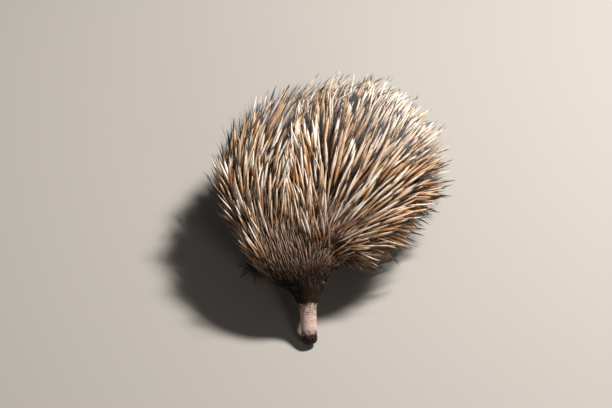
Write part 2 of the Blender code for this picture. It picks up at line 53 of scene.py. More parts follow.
# The line of the animal, as the model has it, in millimetres and degrees. Each row is a section out to the
# ends of the short fur: where its middle is, how far the line climbs there, how far it is rolled to the
# animal's left, and its half width, its height above the line and its depth below.
Section = collections.namedtuple("Section", "name x y z pitch roll width above below")
BODY_LINE = (
    Section("beak_tip", 1.6, 0.0, 4.4, 42, 7, 4.6, 3.8, 3.8),
    Section("nostrils", 1.5, 2.6, 6.6, 42, 7, 8.0, 6.4, 6.2),
    Section("beak_swell", 1.3, 8.9, 12.4, 42, 7, 9.2, 7.6, 7.4),
    Section("beak_middle", 0.6, 20.1, 22.4, 42, 7, 9.3, 7.9, 7.8),
    Section("hairline", -0.4, 34.9, 35.8, 42, 7, 11.3, 10.2, 10.4),
    Section("eyes", -1.6, 49.0, 48.2, 41, 7, 23.0, 18.0, 18.5),
    Section("brow", -5.5, 62.0, 59.0, 36, 8, 39.5, 24.5, 28.5),
    Section("nape", -9.0, 88.0, 71.5, 25, 6, 62.0, 32.0, 43.0),
    Section("neck", -5.0, 112.0, 77.5, 16, 3, 82.0, 37.5, 53.0),
    Section("shoulders", 4.0, 148.0, 79.0, 6, 0, 99.0, 41.0, 60.0),
    Section("middle", 14.0, 198.0, 77.0, 0, 0, 107.0, 43.5, 59.0),
    Section("loin", 31.0, 246.0, 74.0, -5, 0, 103.0, 43.0, 56.0),
    Section("rump", 52.0, 288.0, 68.0, -12, 0, 87.0, 40.0, 49.0),
    Section("seat", 71.0, 319.0, 60.0, -22, 0, 63.0, 34.0, 38.0),
    Section("tail_root", 84.0, 338.0, 52.5, -30, 0, 40.0, 26.0, 27.0),
    Section("tail_middle", 94.0, 355.0, 44.0, -35, 0, 23.0, 17.0, 16.0),
    Section("tail_tip", 102.0, 369.0, 36.0, -38, 0, 8.0, 7.0, 6.5),
)
SQUARENESS = 2.15

# The spines along the line, as the model has them: how long they are on the back and on the flanks, how far
# they are raised off the skin on the back and on the right flank, where round the back the two sides meet in
# a crest, where they part again on the left of it, and how far they lean down from straight back: from the
# crest to the parting, past the parting, on the left flank, at the crest's right, and on the right flank.
Coat = collections.namedtuple(
    "Coat",
    "name length flank_length raised right_raised crest parting "
    "left_top left_start left_flank right_top right_flank",
)
COAT = (
    Coat("nape", 34, 40, 27, 16, -12, 36, -20, 26, 34, -6, -4),
    Coat("neck", 44, 48, 34, 15, -13, 22, -22, 14, 38, -14, -26),
    Coat("shoulders", 51, 54, 39, 15, -15, 12, -22, 8, 40, -22, -34),
    Coat("middle", 57, 60, 39, 19, -19, 7, -20, 4, 36, -32, -28),
    Coat("loin", 60, 62, 39, 26, -22, 0, -14, -6, 33, -42, -20),
    Coat("rump", 60, 62, 40, 28, -12, 0, -14, -10, 25, -48, -16),
    Coat("seat", 54, 54, 38, 28, -4, 0, -10, -8, 18, -30, -6),
    Coat("tail_root", 44, 44, 34, 30, 0, 0, 0, 0, 16, -10, 6),
    Coat("tail_middle", 34, 34, 32, 32, 0, 0, 0, 0, 16, 0, 16),
    Coat("tail_tip", 26, 26, 28, 28, 0, 0, 0, 0, 16, 0, 16),
)
PARTING_HALF = math.radians(2.2)
CREST_HALF = math.radians(8)
FLANK_STARTS = 0.25
SPINES_REACH = math.radians(114)
SPINES_SHORTEN = math.radians(75)
SHORTEST_SHARE = 0.7
SPINE_ROOT = 5 * MM
SPINE_SPACING = 8.5 * MM
# The spines begin along an arch, which is highest over the middle of the brow.
SPINES_ARCH = 17 * MM
BROW_MIDDLE = math.radians(-12)
ARCH_SPREAD = (math.radians(8), math.radians(52))
# How far a spine or a hair may stand above its neighbours.
MOST_RISE = math.radians(8.5)
SPINES_SEED, LIMBS_SEED = 5, 9

# The form of a strand: its sides, how thick it is at each share of its length, and how flat it is.
Form = collections.namedtuple("Form", "sides profile flatness")
SPINE_FORM = Form(6, ((0.0, 0.5), (0.14, 0.66), (0.34, 0.94), (0.55, 1.0), (0.77, 0.68), (0.92, 0.28)), 1.0)
BRISTLE_FORM = Form(4, ((0.0, 0.7), (0.3, 1.0), (0.7, 0.7)), 1.0)
HAIR_FORM = Form(3, ((0.0, 0.85), (0.45, 1.0)), 0.6)

# A layer of the head's bristles: its spacing and seed, its length at the eyes and at the neck, how far it is
# raised, its width at the eyes and at the neck, and the span of its tones.
Bristles = collections.namedtuple("Bristles", "name spacing seed length raised width tones")
BRISTLE_LAYERS = (
    Bristles("bristles", 2.8, 6, (8, 32), 15, (0.11, 0.34), (0.5, 1.3)),
    Bristles("dark_bristles", 2.1, 16, (5, 15), 11, (0.14, 0.30), (0.0, 0.10)),
    Bristles("fine_bristles", 1.5, 26, (5, 11), 10, (0.10, 0.17), (0.0, 0.18)),
)

# A piece of fur: the sections that it starts and ends by and its steps from them, the angles that it covers,
# its spacing and seed, its share of the fur's length, its width, how loosely it lies, its finish, its share
# of the fur's rise, and how much it curls.
BACK = (-SPINES_REACH, SPINES_REACH)
ROUND = (-math.pi, math.pi)
BELLY = (SPINES_REACH - 0.25, 2 * math.pi - SPINES_REACH + 0.25)
Pelt = collections.namedtuple(
    "Pelt",
    "name start start_step end end_step angles spacing seed lengths width loose finish lift curl",
    defaults=(0.09,),
)
PELTS = (
    Pelt("under_hair_front", "nape", -8, "middle", 0, BACK, 2.5, 21, 1.1, 0.36, 9, "front_hair", 1.0),
    Pelt("under_hair_rear", "middle", 0, "tail_tip", -3, BACK, 2.5, 22, 1.35, 0.42, 9, "rear_hair_painted_sheen", 1.1),
    Pelt("face_fur", "hairline", -12, "brow", 0, ROUND, 0.8, 23, 1.0, 0.18, 5, "face_fur", 0.75, 0.03),
    Pelt("beak_hair", "hairline", -16, "hairline", 5, ROUND, 1.1, 27, 1.3, 0.26, 14, "face_fur", 1.4, 0.08),
    Pelt("crown_fur", "brow", 0, "neck", 0, ROUND, 1.45, 24, 0.85, 0.24, 6, "face_fur", 0.8, 0.04),
    Pelt("belly_fur", "neck", 0, "tail_tip", -2, BELLY, 2.3, 25, 0.5, 0.42, 12, "short_fur", 0.6),
)
# The fur thins out from the hairline along the beak, and the eyes stay clear of it and of the bristles.
FUR_THINS = (-19 * MM, 3 * MM)
FUR_FROM_EYE, BRISTLES_FROM_EYE = 4.5 * MM, 7 * MM
LIMB_HAIRS = 11000

# The finishes of the hair: how much of its root has the hide's colour, its tip's colour and where that
# starts, how rough it is, and its gloss.
HairFinish = collections.namedtuple("HairFinish", "root_share tip_colour tip_start roughness gloss")
HAIR_FINISHES = {
    # The bristles' pale tips are their own tan, brightened as a painted highlight where light catches them.
    "bristle": HairFinish(0.3, (0.98, 0.66, 0.46), 0.02, 0.4, 0.25),
    "front_hair": HairFinish(0.25, (0.075, 0.040, 0.025), 0.45, 0.45, 0.18),
    # The rear hair's grey tips are a painted sheen on dark hair.
    "rear_hair_painted_sheen": HairFinish(0.3, (0.115, 0.112, 0.118), 0.35, 0.4, 0.5),
    "short_fur": HairFinish(0.5, (0.19, 0.105, 0.062), 0.4, 0.6, 0.15),
    "face_fur": HairFinish(0.5, (0.100, 0.047, 0.027), 0.4, 0.6, 0.08),
}

# The short fur: how deep the skin lies under its ends, how long it is, and how far it is raised.
Fur = collections.namedtuple("Fur", "name depth length raised")
FUR = (
    Fur("beak_tip", 0.0, 2.0, 8),
    Fur("beak_middle", 0.0, 2.0, 8),
    Fur("hairline", 0.25, 3.2, 10),
    Fur("eyes", 1.3, 5.5, 15),
    Fur("brow", 2.4, 9.0, 19),
    Fur("nape", 3.6, 15.0, 24),
    Fur("neck", 4.2, 24.0, 29),
    Fur("shoulders", 5.0, 33.0, 33),
    Fur("rump", 5.0, 35.0, 33),
    Fur("tail_root", 3.6, 22.0, 26),
    Fur("tail_tip", 1.6, 11.0, 18),
)

# The colour of the hide and of the hair's roots along the line, on the back and on the belly.
Hide = collections.namedtuple("Hide", "name back belly")
HIDE = (
    Hide("beak_tip", (0.570, 0.425, 0.365), (0.350, 0.260, 0.222)),
    Hide("beak_middle", (0.570, 0.425, 0.365), (0.380, 0.285, 0.245)),
    Hide("hairline", (0.510, 0.375, 0.320), (0.340, 0.250, 0.215)),
    Hide("eyes", (0.024, 0.011, 0.006), (0.042, 0.022, 0.013)),
    Hide("brow", (0.034, 0.016, 0.010), (0.060, 0.032, 0.020)),
    Hide("nape", (0.042, 0.022, 0.015), (0.080, 0.047, 0.031)),
    Hide("shoulders", (0.036, 0.021, 0.014), (0.095, 0.060, 0.040)),
    Hide("rump", (0.034, 0.023, 0.018), (0.090, 0.057, 0.038)),
    Hide("tail_tip", (0.045, 0.030, 0.023), (0.090, 0.060, 0.045)),
)
NOSE_HIDE = (0.022, 0.008, 0.005)
NOSE_ENDS = (20 * MM, 9 * MM)
NOSE_BLOTCH = 16 * MM
CREASES_GROW = (20 * MM, 36 * MM)
LID_HIDE = (0.018, 0.011, 0.009)
LID_HIDE_ENDS = (5.8 * MM, 4.4 * MM)
LEG_HIDE = (0.055, 0.031, 0.020)
PAW_HIDE = (0.115, 0.084, 0.070)
# The waves of the hairline: how many go round the head, where each starts, and its height.
HAIRLINE_WAVES = ((5, 1, 0.9 * MM), (11, 2, 0.7 * MM), (23, 0, 0.6 * MM))
HAIRLINE_BLUR = 1.5 * MM
BELLY_TURN = (math.radians(78), math.radians(125))

EYE_RADIUS = 4.3 * MM
EYE_ANGLE = math.radians(52)
EYE_SUNK = 3.2 * MM
EAR_BEHIND_EYE = 25 * MM
EAR_ANGLE = math.radians(88)
NOSTRIL_BEHIND_TIP = 5 * MM
NOSTRIL_APART = 5.4 * MM
NOSTRIL_HALF = (0.62 * MM, 1.5 * MM)
NOSTRIL_RIM, NOSTRIL_DEPTH = 0.28 * MM, 1.5 * MM
MOUTH_DROP = 3.0 * MM
MOUTH_LENGTH = 13 * MM
LIPS_HALF, LIPS_DEPTH = 0.36 * MM, 0.75 * MM

WRIST_HEIGHT = 17 * MM
TOE_HEIGHT = 4.8 * MM
CLAW_DROP = 3.3 * MM
CLAW_FLATNESS = 0.72
CLAW_GAP = 0.3 * MM
LEG_FUR_DEPTH = 2.4 * MM
PAW_FUR_DEPTH = 0.8 * MM

# A toe: its spread from the paw's heading, its reach, its radius, and its claw's length and sweep.
Toe = collections.namedtuple("Toe", "spread reach radius claw sweep")
DIGGING_TOES = (
    Toe(-46, 22, 3.6, 14, -8),
    Toe(-23, 23, 4.0, 20, -4),
    Toe(0, 23, 4.2, 23, 0),
    Toe(23, 23, 4.0, 21, 4),
    Toe(46, 22, 3.6, 15, 8),
)
GROOMING_TOES = (
    Toe(-54, 19, 3.4, 8, 0),
    Toe(-26, 21, 4.0, 33, 26),
    Toe(-2, 22, 3.9, 23, 20),
    Toe(20, 21, 3.6, 16, 14),
    Toe(42, 20, 3.3, 12, 8),
)
# A paw: where it stands, which way it points, its half sizes, and its leg's reach and radii.
Paw = collections.namedtuple("Paw", "name side x y heading half toes leg_reach leg_radii")
FRONT_LEG = ((-16, 14, 60), (25, 21, 16, 13.5))
HIND_LEG = ((-30, 8, 58), (28, 23, 16, 12.5))
PAWS = (
    Paw("front_left", LEFT, 56, 178, 14, (18, 16, 17), DIGGING_TOES, *FRONT_LEG),
    Paw("front_right", RIGHT, -50, 150, -16, (18, 16, 17), DIGGING_TOES, *FRONT_LEG),
    Paw("hind_left", LEFT, 104, 276, 112, (15, 17, 16), GROOMING_TOES, *HIND_LEG),
    Paw("hind_right", RIGHT, -32, 300, -92, (15, 17, 16), GROOMING_TOES, *HIND_LEG),
)

# The studio: each lamp's place, size, power and colour, the point that the lamps aim at, and the air's light.
Lamp = collections.namedtuple("Lamp", "name place size power colour")
LAMPS = (
    Lamp("key", (1.15, 0.58, 2.0), 0.36, 117, (1.0, 0.97, 0.93)),
    Lamp("fill", (-1.8, -1.6, 1.6), 1.6, 2.2, (1.0, 0.98, 0.96)),
    Lamp("front", (0.9, -2.2, 1.1), 0.5, 8, (1.0, 0.97, 0.93)),
)
LAMPS_AIM = (0.0, 0.0, 0.06)
AIR_COLOUR, AIR_POWER = (0.82, 0.79, 0.76, 1.0), 0.075
FLOOR_HALF = 6.0
FLOOR_COLOUR = (0.34, 0.318, 0.296)

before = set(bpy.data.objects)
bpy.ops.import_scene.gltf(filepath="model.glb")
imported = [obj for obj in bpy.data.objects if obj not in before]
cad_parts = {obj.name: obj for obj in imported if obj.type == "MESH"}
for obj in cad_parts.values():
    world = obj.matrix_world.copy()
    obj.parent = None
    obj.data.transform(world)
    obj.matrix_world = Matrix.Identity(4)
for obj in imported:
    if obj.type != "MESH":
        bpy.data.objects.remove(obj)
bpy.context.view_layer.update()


class SmoothTable:
    """Rows of numbers at rising distances, read on a smooth curve through them."""

    def __init__(self, places, rows):
        self.places = np.asarray(places, float)
        self.rows = np.asarray(rows, float)
        steps = np.diff(self.places)[:, None]
        slopes = np.diff(self.rows, axis=0) / steps
        inner = (slopes[:-1] * steps[1:] + slopes[1:] * steps[:-1]) / (steps[1:] + steps[:-1])
        self.slopes = np.vstack([slopes[:1], inner, slopes[-1:]])

    def at(self, place):
        place = np.clip(np.asarray(place, float), self.places[0], self.places[-1])
        i = np.clip(np.searchsorted(self.places, place, side="right") - 1, 0, len(self.places) - 2)
        step = (self.places[i + 1] - self.places[i])[..., None]
        t = (place - self.places[i])[..., None] / step
        return (
            (2 * t**3 - 3 * t**2 + 1) * self.rows[i]
            + (t**3 - 2 * t**2 + t) * step * self.slopes[i]
            + (3 * t**2 - 2 * t**3) * self.rows[i + 1]
            + (t**3 - t**2) * step * self.slopes[i + 1]
        )


def unit(vectors):
    return vectors / np.maximum(np.linalg.norm(vectors, axis=-1, keepdims=True), 1e-12)


def along(first, second):
    """How far the first vectors reach along the second ones."""
    return np.sum(first * second, axis=-1)


def smooth_step(low, high, value):
    share = np.clip((value - low) / (high - low), 0, 1)
    return share * share * (3 - 2 * share)


def between(first, last, share):
    """The value that is this share of the way from the first to the last."""
    return first + (last - first) * share


def blended(first, second, share):
    """The first colours, each turned into the second by its share."""
    return first * (1 - share[..., None]) + second * share[..., None]


def turned_to(first, second, angle):
    """The first directions, turned towards the second ones by these angles."""
    return first * np.cos(angle)[:, None] + second * np.sin(angle)[:, None]


def level_way(degrees):
    """The level direction that is turned by this much from the way that the animal walks."""
    turn = math.radians(degrees)
    return np.array((math.sin(turn), -math.cos(turn), 0.0))


def section_places():
    """How far along the line each section is, from the beak's tip."""
    middles = np.array([(s.x, s.y, s.z) for s in BODY_LINE]) * MM
    steps = np.linalg.norm(np.diff(middles, axis=0), axis=1)
    return dict(zip((s.name for s in BODY_LINE), [0.0, *np.cumsum(steps)]))


PLACE = section_places()
WHOLE_LINE = PLACE["tail_tip"]
MIDDLES = SmoothTable(list(PLACE.values()), [(s.x * MM, s.y * MM, s.z * MM) for s in BODY_LINE])
SHAPES = SmoothTable(
    list(PLACE.values()),
    [
        (math.radians(s.pitch), math.radians(s.roll), s.width * MM, s.above * MM, s.below * MM)
        for s in BODY_LINE
    ],
)
COATS = SmoothTable(
    [PLACE[c.name] for c in COAT],
    [(c.length * MM, c.flank_length * MM, *(math.radians(angle) for angle in c[3:])) for c in COAT],
)
FURS = SmoothTable(
    [PLACE[f.name] for f in FUR],
    [(f.depth * MM, f.length * MM, math.radians(f.raised)) for f in FUR],
)
HIDES = SmoothTable([PLACE[h.name] for h in HIDE], [(*h.back, *h.belly) for h in HIDE])


def body_frame(place):
    """The middle of the section at this place, and its directions: towards the tail, left and up."""
    middle = MIDDLES.at(place)
    ahead = MIDDLES.at(place + MM) - MIDDLES.at(place - MM)
    heading = np.arctan2(ahead[..., 0], ahead[..., 1])
    shape = SHAPES.at(place)
    pitch, roll = shape[..., 0], shape[..., 1]
    level = np.cos(pitch)
    tail_way = np.stack([np.sin(heading) * level, np.cos(heading) * level, np.sin(pitch)], -1)
    left = np.stack([np.cos(heading), -np.sin(heading), np.zeros_like(heading)], -1)
    up = np.cross(left, tail_way)
    turn, lift = np.cos(roll)[..., None], np.sin(roll)[..., None]
    return middle, tail_way, left * turn - up * lift, up * turn + left * lift


def body_point(place, angle, inset=0.0):
    """A point of the body, this far inside the model. Angle 0 is the back, a quarter turn the left flank."""
    middle, _, left, up = body_frame(place)
    shape = SHAPES.at(place)
    side, rise = np.sin(angle), np.cos(angle)
    bulge = (np.abs(side) ** SQUARENESS + np.abs(rise) ** SQUARENESS) ** (-1 / SQUARENESS)
    width = shape[..., 2] - inset
    height = np.where(rise > 0, shape[..., 3], shape[..., 4]) - inset
    return middle + left * (side * bulge * width)[..., None] + up * (rise * bulge * height)[..., None]


def skin_depth(place):
    return FURS.at(place)[..., 0]


def body_surface(place, angle, inset=0.0):
    """Points of the body with its directions there: towards the tail, round to the left, and out."""
    step, turn = 0.5 * MM, math.radians(1)
    point = body_point(place, angle, inset)
    back = unit(body_point(place + step, angle, inset) - body_point(place - step, angle, inset))
    around = unit(body_point(place, angle + turn, inset) - body_point(place, angle - turn, inset))
    out = unit(np.cross(around, back))
    outwards = along(out, point - body_frame(place)[0])
    return point, back, around, np.where(outwards[..., None] < 0, -out, out)


def hide_colour(place, angle):
    """The colour of the hide at these places, which the skin and the coat's roots share."""
    furred = np.maximum(place, PLACE["eyes"])
    waves = sum(height * np.sin(count * angle + start) for count, start, height in HAIRLINE_WAVES)
    edge = PLACE["hairline"] + waves
    share = smooth_step(edge - HAIRLINE_BLUR, edge + HAIRLINE_BLUR, place)
    colours = np.clip(blended(HIDES.at(place), HIDES.at(furred), share), 0, 1)
    return blended(colours[..., :3], colours[..., 3:], smooth_step(*BELLY_TURN, np.abs(angle)))


def facing(out):
    """The rotation whose X axis points out and whose Z axis is as near to straight up as it can be."""
    side = unit(np.cross(UP, out))
    return np.stack([out, side, np.cross(out, side)], -1)


def eye_place(side):
    """The middle of an eye and the way it looks."""
    point, _, _, out = body_surface(np.array(PLACE["eyes"]), side * EYE_ANGLE)
    return point - out * EYE_SUNK, out


def eye_gap(points):
    """How far each point is from the middle of the nearer eye's opening."""
    fronts = [middle + out * EYE_RADIUS for middle, out in map(eye_place, (LEFT, RIGHT))]
    return np.min([np.linalg.norm(points - front, axis=1) for front in fronts], axis=0)


def ear_place(side):
    """The middle of an ear's opening and the way it faces."""
    point, _, _, out = body_surface(np.array(PLACE["eyes"] + EAR_BEHIND_EYE), side * EAR_ANGLE)
    return point, out


def line_shift():
    """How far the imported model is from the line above, as its left eye tells."""
    low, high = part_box("eye_left")
    return (np.array(low) + np.array(high)) / 2 - eye_place(LEFT)[0]


SHIFT = line_shift()


def set_camera():
    """The camera of the photo's view, with the beak's tip at its place in the picture."""
    tip = MIDDLES.at(0.0) + SHIFT
    ahead = np.array((0.0, math.cos(CAMERA_DOWN), -math.sin(CAMERA_DOWN)))
    right = np.array((1.0, 0.0, 0.0))
    up = np.cross(right, ahead)
    off = (np.array(TIP_IN_PICTURE) - np.array(PICTURE_SIZE) / 2) * PIXEL_AT_TIP
    camera = bpy.data.cameras.new("camera")
    camera.sensor_width = SENSOR_WIDTH
    camera.lens = CAMERA_AWAY / PIXEL_AT_TIP / PICTURE_SIZE[0] * SENSOR_WIDTH
    stand = bpy.data.objects.new("camera", camera)
    stand.location = tip - ahead * CAMERA_AWAY - right * off[0] + up * off[1]
    stand.rotation_euler = (math.pi / 2 - CAMERA_DOWN, 0, 0)
    bpy.context.scene.collection.objects.link(stand)
    bpy.context.scene.camera = stand


class Wire:
    """A socket of a material, on which sums can be written."""

    def __init__(self, finish, socket):
        self.finish = finish
        self.socket = socket

    def sum_of(self, operation, first, second):
        return self.finish.node("ShaderNodeMath", {"operation": operation}, {0: first, 1: second})

    def __add__(self, other):
        return self.sum_of("ADD", self, other)

    __radd__ = __add__

    def __sub__(self, other):
        return self.sum_of("SUBTRACT", self, other)

    def __rsub__(self, other):
        return self.sum_of("SUBTRACT", other, self)

    def __mul__(self, other):
        return self.sum_of("MULTIPLY", self, other)

    __rmul__ = __mul__


class Finish:
    """A material in the making. One method makes each of its nodes."""

    def __init__(self, name):
        self.material = bpy.data.materials.new(name)
        self.material.use_nodes = True
        self.tree = self.material.node_tree
        self.shader = self.tree.nodes["Principled BSDF"]

    def feed(self, socket, value):
        if isinstance(value, Wire):
            self.tree.links.new(value.socket, socket)
        else:
            socket.default_value = value

    def node(self, kind, settings=None, sockets=None, out=0):
        """Makes a node of this kind, with its settings first and then its sockets' values or wires."""
        node = self.tree.nodes.new(kind)
        for name, value in (settings or {}).items():
            setattr(node, name, value)
        for name, value in (sockets or {}).items():
            self.feed(node.inputs[name], value)
        return Wire(self, node.outputs[out])

    def number(self, name):
        """A number that the mesh carries under this name."""
        return self.node("ShaderNodeAttribute", {"attribute_name": name}, out="Fac")

    def colour(self, name):
        """A colour that the mesh carries under this name."""
        return self.node("ShaderNodeAttribute", {"attribute_name": name}, out="Color")

    def place(self):
        return self.node("ShaderNodeTexCoord", out="Object")

    def at(self, x, y, z=0.0):
        """A place made of three numbers."""
        return self.node("ShaderNodeCombineXYZ", {}, {0: x, 1: y, 2: z})

    def noise(self, scale, detail=3.0, place=None):
        sockets = {"Vector": place or self.place(), "Scale": scale, "Detail": detail}
        return self.node("ShaderNodeTexNoise", {}, sockets)

    def span(self, value, low, high, to_low=0.0, to_high=1.0):
        """The value's share of the way from low to high, kept within it, on a smooth step."""
        sockets = {0: value, 1: low, 2: high, 3: to_low, 4: to_high}
        return self.node("ShaderNodeMapRange", {"interpolation_type": "SMOOTHSTEP"}, sockets)

    def mix(self, share, first, second, blend="MIX"):
        """Two colours mixed. A plain colour is given as three numbers."""
        first, second = (c if isinstance(c, Wire) else (*c, 1.0) for c in (first, second))
        settings = {"data_type": "RGBA", "blend_type": blend}
        return self.node("ShaderNodeMix", settings, {0: share, 6: first, 7: second}, out=2)

    def bump(self, height, strength, distance):
        return self.node("ShaderNodeBump", {}, {"Height": height, "Strength": strength, "Distance": distance})

    def done(self, **sockets):
        """Sets the shader's sockets, named with underscores for spaces, and gives the material."""
        for name, value in sockets.items():
            if isinstance(value, tuple):
                value = (*value, 1.0)
            self.feed(self.shader.inputs[name.replace("_", " ")], value)
        return self.material


def skin_finish():
    """The hide: leathery and finely wrinkled where it is bare, with painted shade in the wrinkles' troughs,
    and dark under the coat.
    """
    hide = Finish("hide")
    bare = hide.number("bare")
    ring = hide.number("ring_place")
    turn = hide.number("ring_turn")
    wrinkles = hide.noise(1.0, 5.0, hide.at(ring * 800.0, turn * 1.6))
    pores = hide.noise(1500.0, 3.0)
    blotches = hide.noise(230.0, 5.0)
    nose = hide.span(ring + (blotches - 0.5) * NOSE_BLOTCH, *NOSE_ENDS)
    tipped = hide.mix(nose * bare, hide.colour("hide_colour"), NOSE_HIDE)
    creased = hide.span(ring, *CREASES_GROW, 0.15, 1.0) * bare
    patches = hide.noise(420.0, 3.0)
    mottled = hide.mix(hide.span(patches, 0.42, 0.66) * 0.75, tipped, (0.66, 0.60, 0.60), "MULTIPLY")
    # Painted shade: the wrinkles are darkened where their bumps are lowest.
    crease_shaded = hide.mix(hide.span(wrinkles, 0.47, 0.36) * creased * 0.75, mottled, (0.07, 0.045, 0.035))
    height = hide.span(wrinkles, 0.25, 0.75) * creased + pores * 0.35
    return hide.done(
        Base_Color=crease_shaded,
        Roughness=hide.span(pores, 0.3, 0.7, 0.48, 0.68),
        Specular_IOR_Level=0.25,
        Normal=hide.bump(height, 0.8, 0.5 * MM),
    )


def spine_finish():
    """A spine: amber at its root, cream along its shaft, with a dark tip on many, and painted shade at its
    very root.
    """
    spine = Finish("spine")
    share = spine.number("along")
    tone = spine.number("tone")
    amber_end = spine.number("amber_end")
    dark_start = spine.number("dark_start")
    # The tone holds painted light and shade from where each spine grows, over its own random variation.
    cream = spine.mix(tone, (0.60, 0.35, 0.16), (0.92, 0.855, 0.775))
    amber = spine.mix(tone, (0.30, 0.12, 0.035), (0.58, 0.30, 0.11))
    band_place = spine.at(share * 4.5, amber_end * 40.0, tone * 25.0)
    bands = spine.span(spine.noise(1.0, 2.0, band_place), 0.52, 0.68)
    banded = spine.mix(bands * 0.55, cream, amber)
    shaft = spine.mix(spine.span(share - amber_end, -0.16, 0.12), amber, banded)
    # Painted shade: each spine darkens towards its root, down among the hair.
    rooted = spine.mix(spine.span(share, 0.02, 0.20), (0.06, 0.035, 0.022), shaft)
    tipped = spine.mix(spine.span(share - dark_start, -0.02, 0.10), rooted, (0.035, 0.026, 0.024))
    grain = spine.noise(900.0, 2.0)
    worn = spine.mix(spine.span(grain, 0.35, 0.7), tipped, (0.78, 0.72, 0.66), "MULTIPLY")
    return spine.done(
        Base_Color=worn,
        Roughness=spine.span(grain, 0.3, 0.7, 0.30, 0.46),
        Normal=spine.bump(grain, 0.25, 0.2 * MM),
    )


def hair_finish(name, root_share, tip_colour, tip_start, roughness, gloss):
    """Hair that is dark at its root in the hide's colour, and turns to a tip of its own colour."""
    hair = Finish(name)
    share = hair.number("along")
    tone = hair.number("tone")
    root = hair.mix(tone * 0.6 + root_share, (0.012, 0.010, 0.010), hair.colour("hide_colour"))
    tipped = hair.mix(hair.span(share, tip_start, 1.0) * tone, root, tip_colour)
    return hair.done(Base_Color=tipped, Roughness=roughness, Specular_IOR_Level=gloss)


def horn_finish():
    """Claw horn: dark at its root, with fine lengthwise grooves and a worn, paler tip."""
    horn = Finish("claw_horn")
    share = horn.number("along")
    grooves = horn.noise(1.0, 3.0, horn.at(share * 3.0, horn.number("turn") * 14.0))
    body = horn.mix(horn.span(share, 0.1, 0.95), (0.070, 0.052, 0.044), (0.36, 0.27, 0.20))
    streaked = horn.mix(horn.span(grooves, 0.35, 0.7), horn.mix(0.5, body, (0.03, 0.022, 0.018)), body)
    return horn.done(
        Base_Color=streaked,
        Roughness=horn.span(share, 0.0, 1.0, 0.52, 0.30),
        Normal=horn.bump(grooves, 0.4, 0.3 * MM),
    )


def eye_finish():
    """A wet, nearly black eye with a dark brown iris."""
    eye = Finish("wet_eye")
    look = eye.number("look")
    fibres = eye.noise(1400.0, 2.0)
    iris = eye.mix(fibres, (0.007, 0.004, 0.003), (0.022, 0.012, 0.007))
    ringed = eye.mix(eye.span(look, 0.70, 0.80), (0.006, 0.004, 0.003), iris)
    pupil = eye.mix(eye.span(look, 0.90, 0.93), ringed, (0.003, 0.003, 0.003))
    return eye.done(Base_Color=pupil, Roughness=0.05, Specular_IOR_Level=0.14)


SAME_PLACE = 0.002 * MM


def vert_places(verts):
    return np.array([v.co for v in verts])


def sheet(shape, columns, rows, point_of):
    """A grid of faces whose corners go where their shares of the way across and along it say."""
    verts = bmesh.ops.create_grid(shape, x_segments=columns, y_segments=rows, size=0.5)["verts"]
    shares = vert_places(verts) + 0.5
    for vert, point in zip(verts, point_of(shares[:, 0], shares[:, 1])):
        vert.co = point
    return verts


def close_ends(shape):
    """Closes every open end of the shape with a face."""
    open_edges = [edge for edge in shape.edges if edge.is_boundary]
    if open_edges:
        bmesh.ops.holes_fill(shape, edges=open_edges, sides=0)


def tube(shape, columns, rows, point_of):
    """A sheet rolled up across, with its seam joined. A path that comes back to its start makes it a ring."""
    verts = sheet(shape, columns, rows, point_of)
    bmesh.ops.remove_doubles(shape, verts=verts, dist=SAME_PLACE)


def ball(shape, middle, half, turn, columns=24, rows=16):
    """An ellipsoid with these half sizes along its own axes."""
    verts = bmesh.ops.create_uvsphere(shape, u_segments=columns, v_segments=rows, radius=1.0)["verts"]
    place = Matrix.Translation(Vector(middle)) @ turn.to_4x4() @ Matrix.Diagonal((*half, 1.0))
    bmesh.ops.transform(shape, matrix=place, verts=verts)
    return verts


def piece(name, shape, *finishes):
    """A finished bmesh as a named object in its place, with smooth faces."""
    for face in shape.faces:
        face.smooth = True
    mesh = bpy.data.meshes.new(name)
    shape.to_mesh(mesh)
    shape.free()
    for finish in finishes:
        mesh.materials.append(finish)
    obj = bpy.data.objects.new(name, mesh)
    bpy.context.scene.collection.objects.link(obj)
    return obj


def apply_modifiers(obj):
    """Makes the mesh what its modifiers show."""
    bpy.context.view_layer.update()
    graph = bpy.context.evaluated_depsgraph_get()
    mesh = bpy.data.meshes.new_from_object(obj.evaluated_get(graph))
    obj.modifiers.clear()
    obj.data = mesh


def carry(mesh, name, values, kind="FLOAT"):
    """Gives each point of the mesh a number or a colour under this name."""
    attribute = mesh.attributes.new(name, kind, "POINT")
    values = np.asarray(values, np.float32)
    if kind == "FLOAT_COLOR":
        values = np.hstack([values, np.ones((len(values), 1), np.float32)])
    attribute.data.foreach_set("color" if kind == "FLOAT_COLOR" else "value", values.ravel())


def mesh_places(mesh):
    places = np.empty(len(mesh.vertices) * 3, np.float32)
    mesh.vertices.foreach_get("co", places)
    return places.reshape(-1, 3).astype(float)


# How finely the skin is made: round the body, along the head, and along the rest.
SKIN_COLUMNS = 184
HEAD_ROWS, TRUNK_ROWS = 186, 96
HEAD_SHARE = HEAD_ROWS / (HEAD_ROWS + TRUNK_ROWS)
NOSE_ROUND, TAIL_ROUND = 2.6 * MM, 6 * MM


def row_place(share):
    """The place along the line of a row of the skin, with the rows closer on the head."""
    on_head = share / HEAD_SHARE * PLACE["nape"]
    on_trunk = PLACE["nape"] + (share - HEAD_SHARE) / (1 - HEAD_SHARE) * (WHOLE_LINE - PLACE["nape"])
    return np.where(share < HEAD_SHARE, on_head, on_trunk)


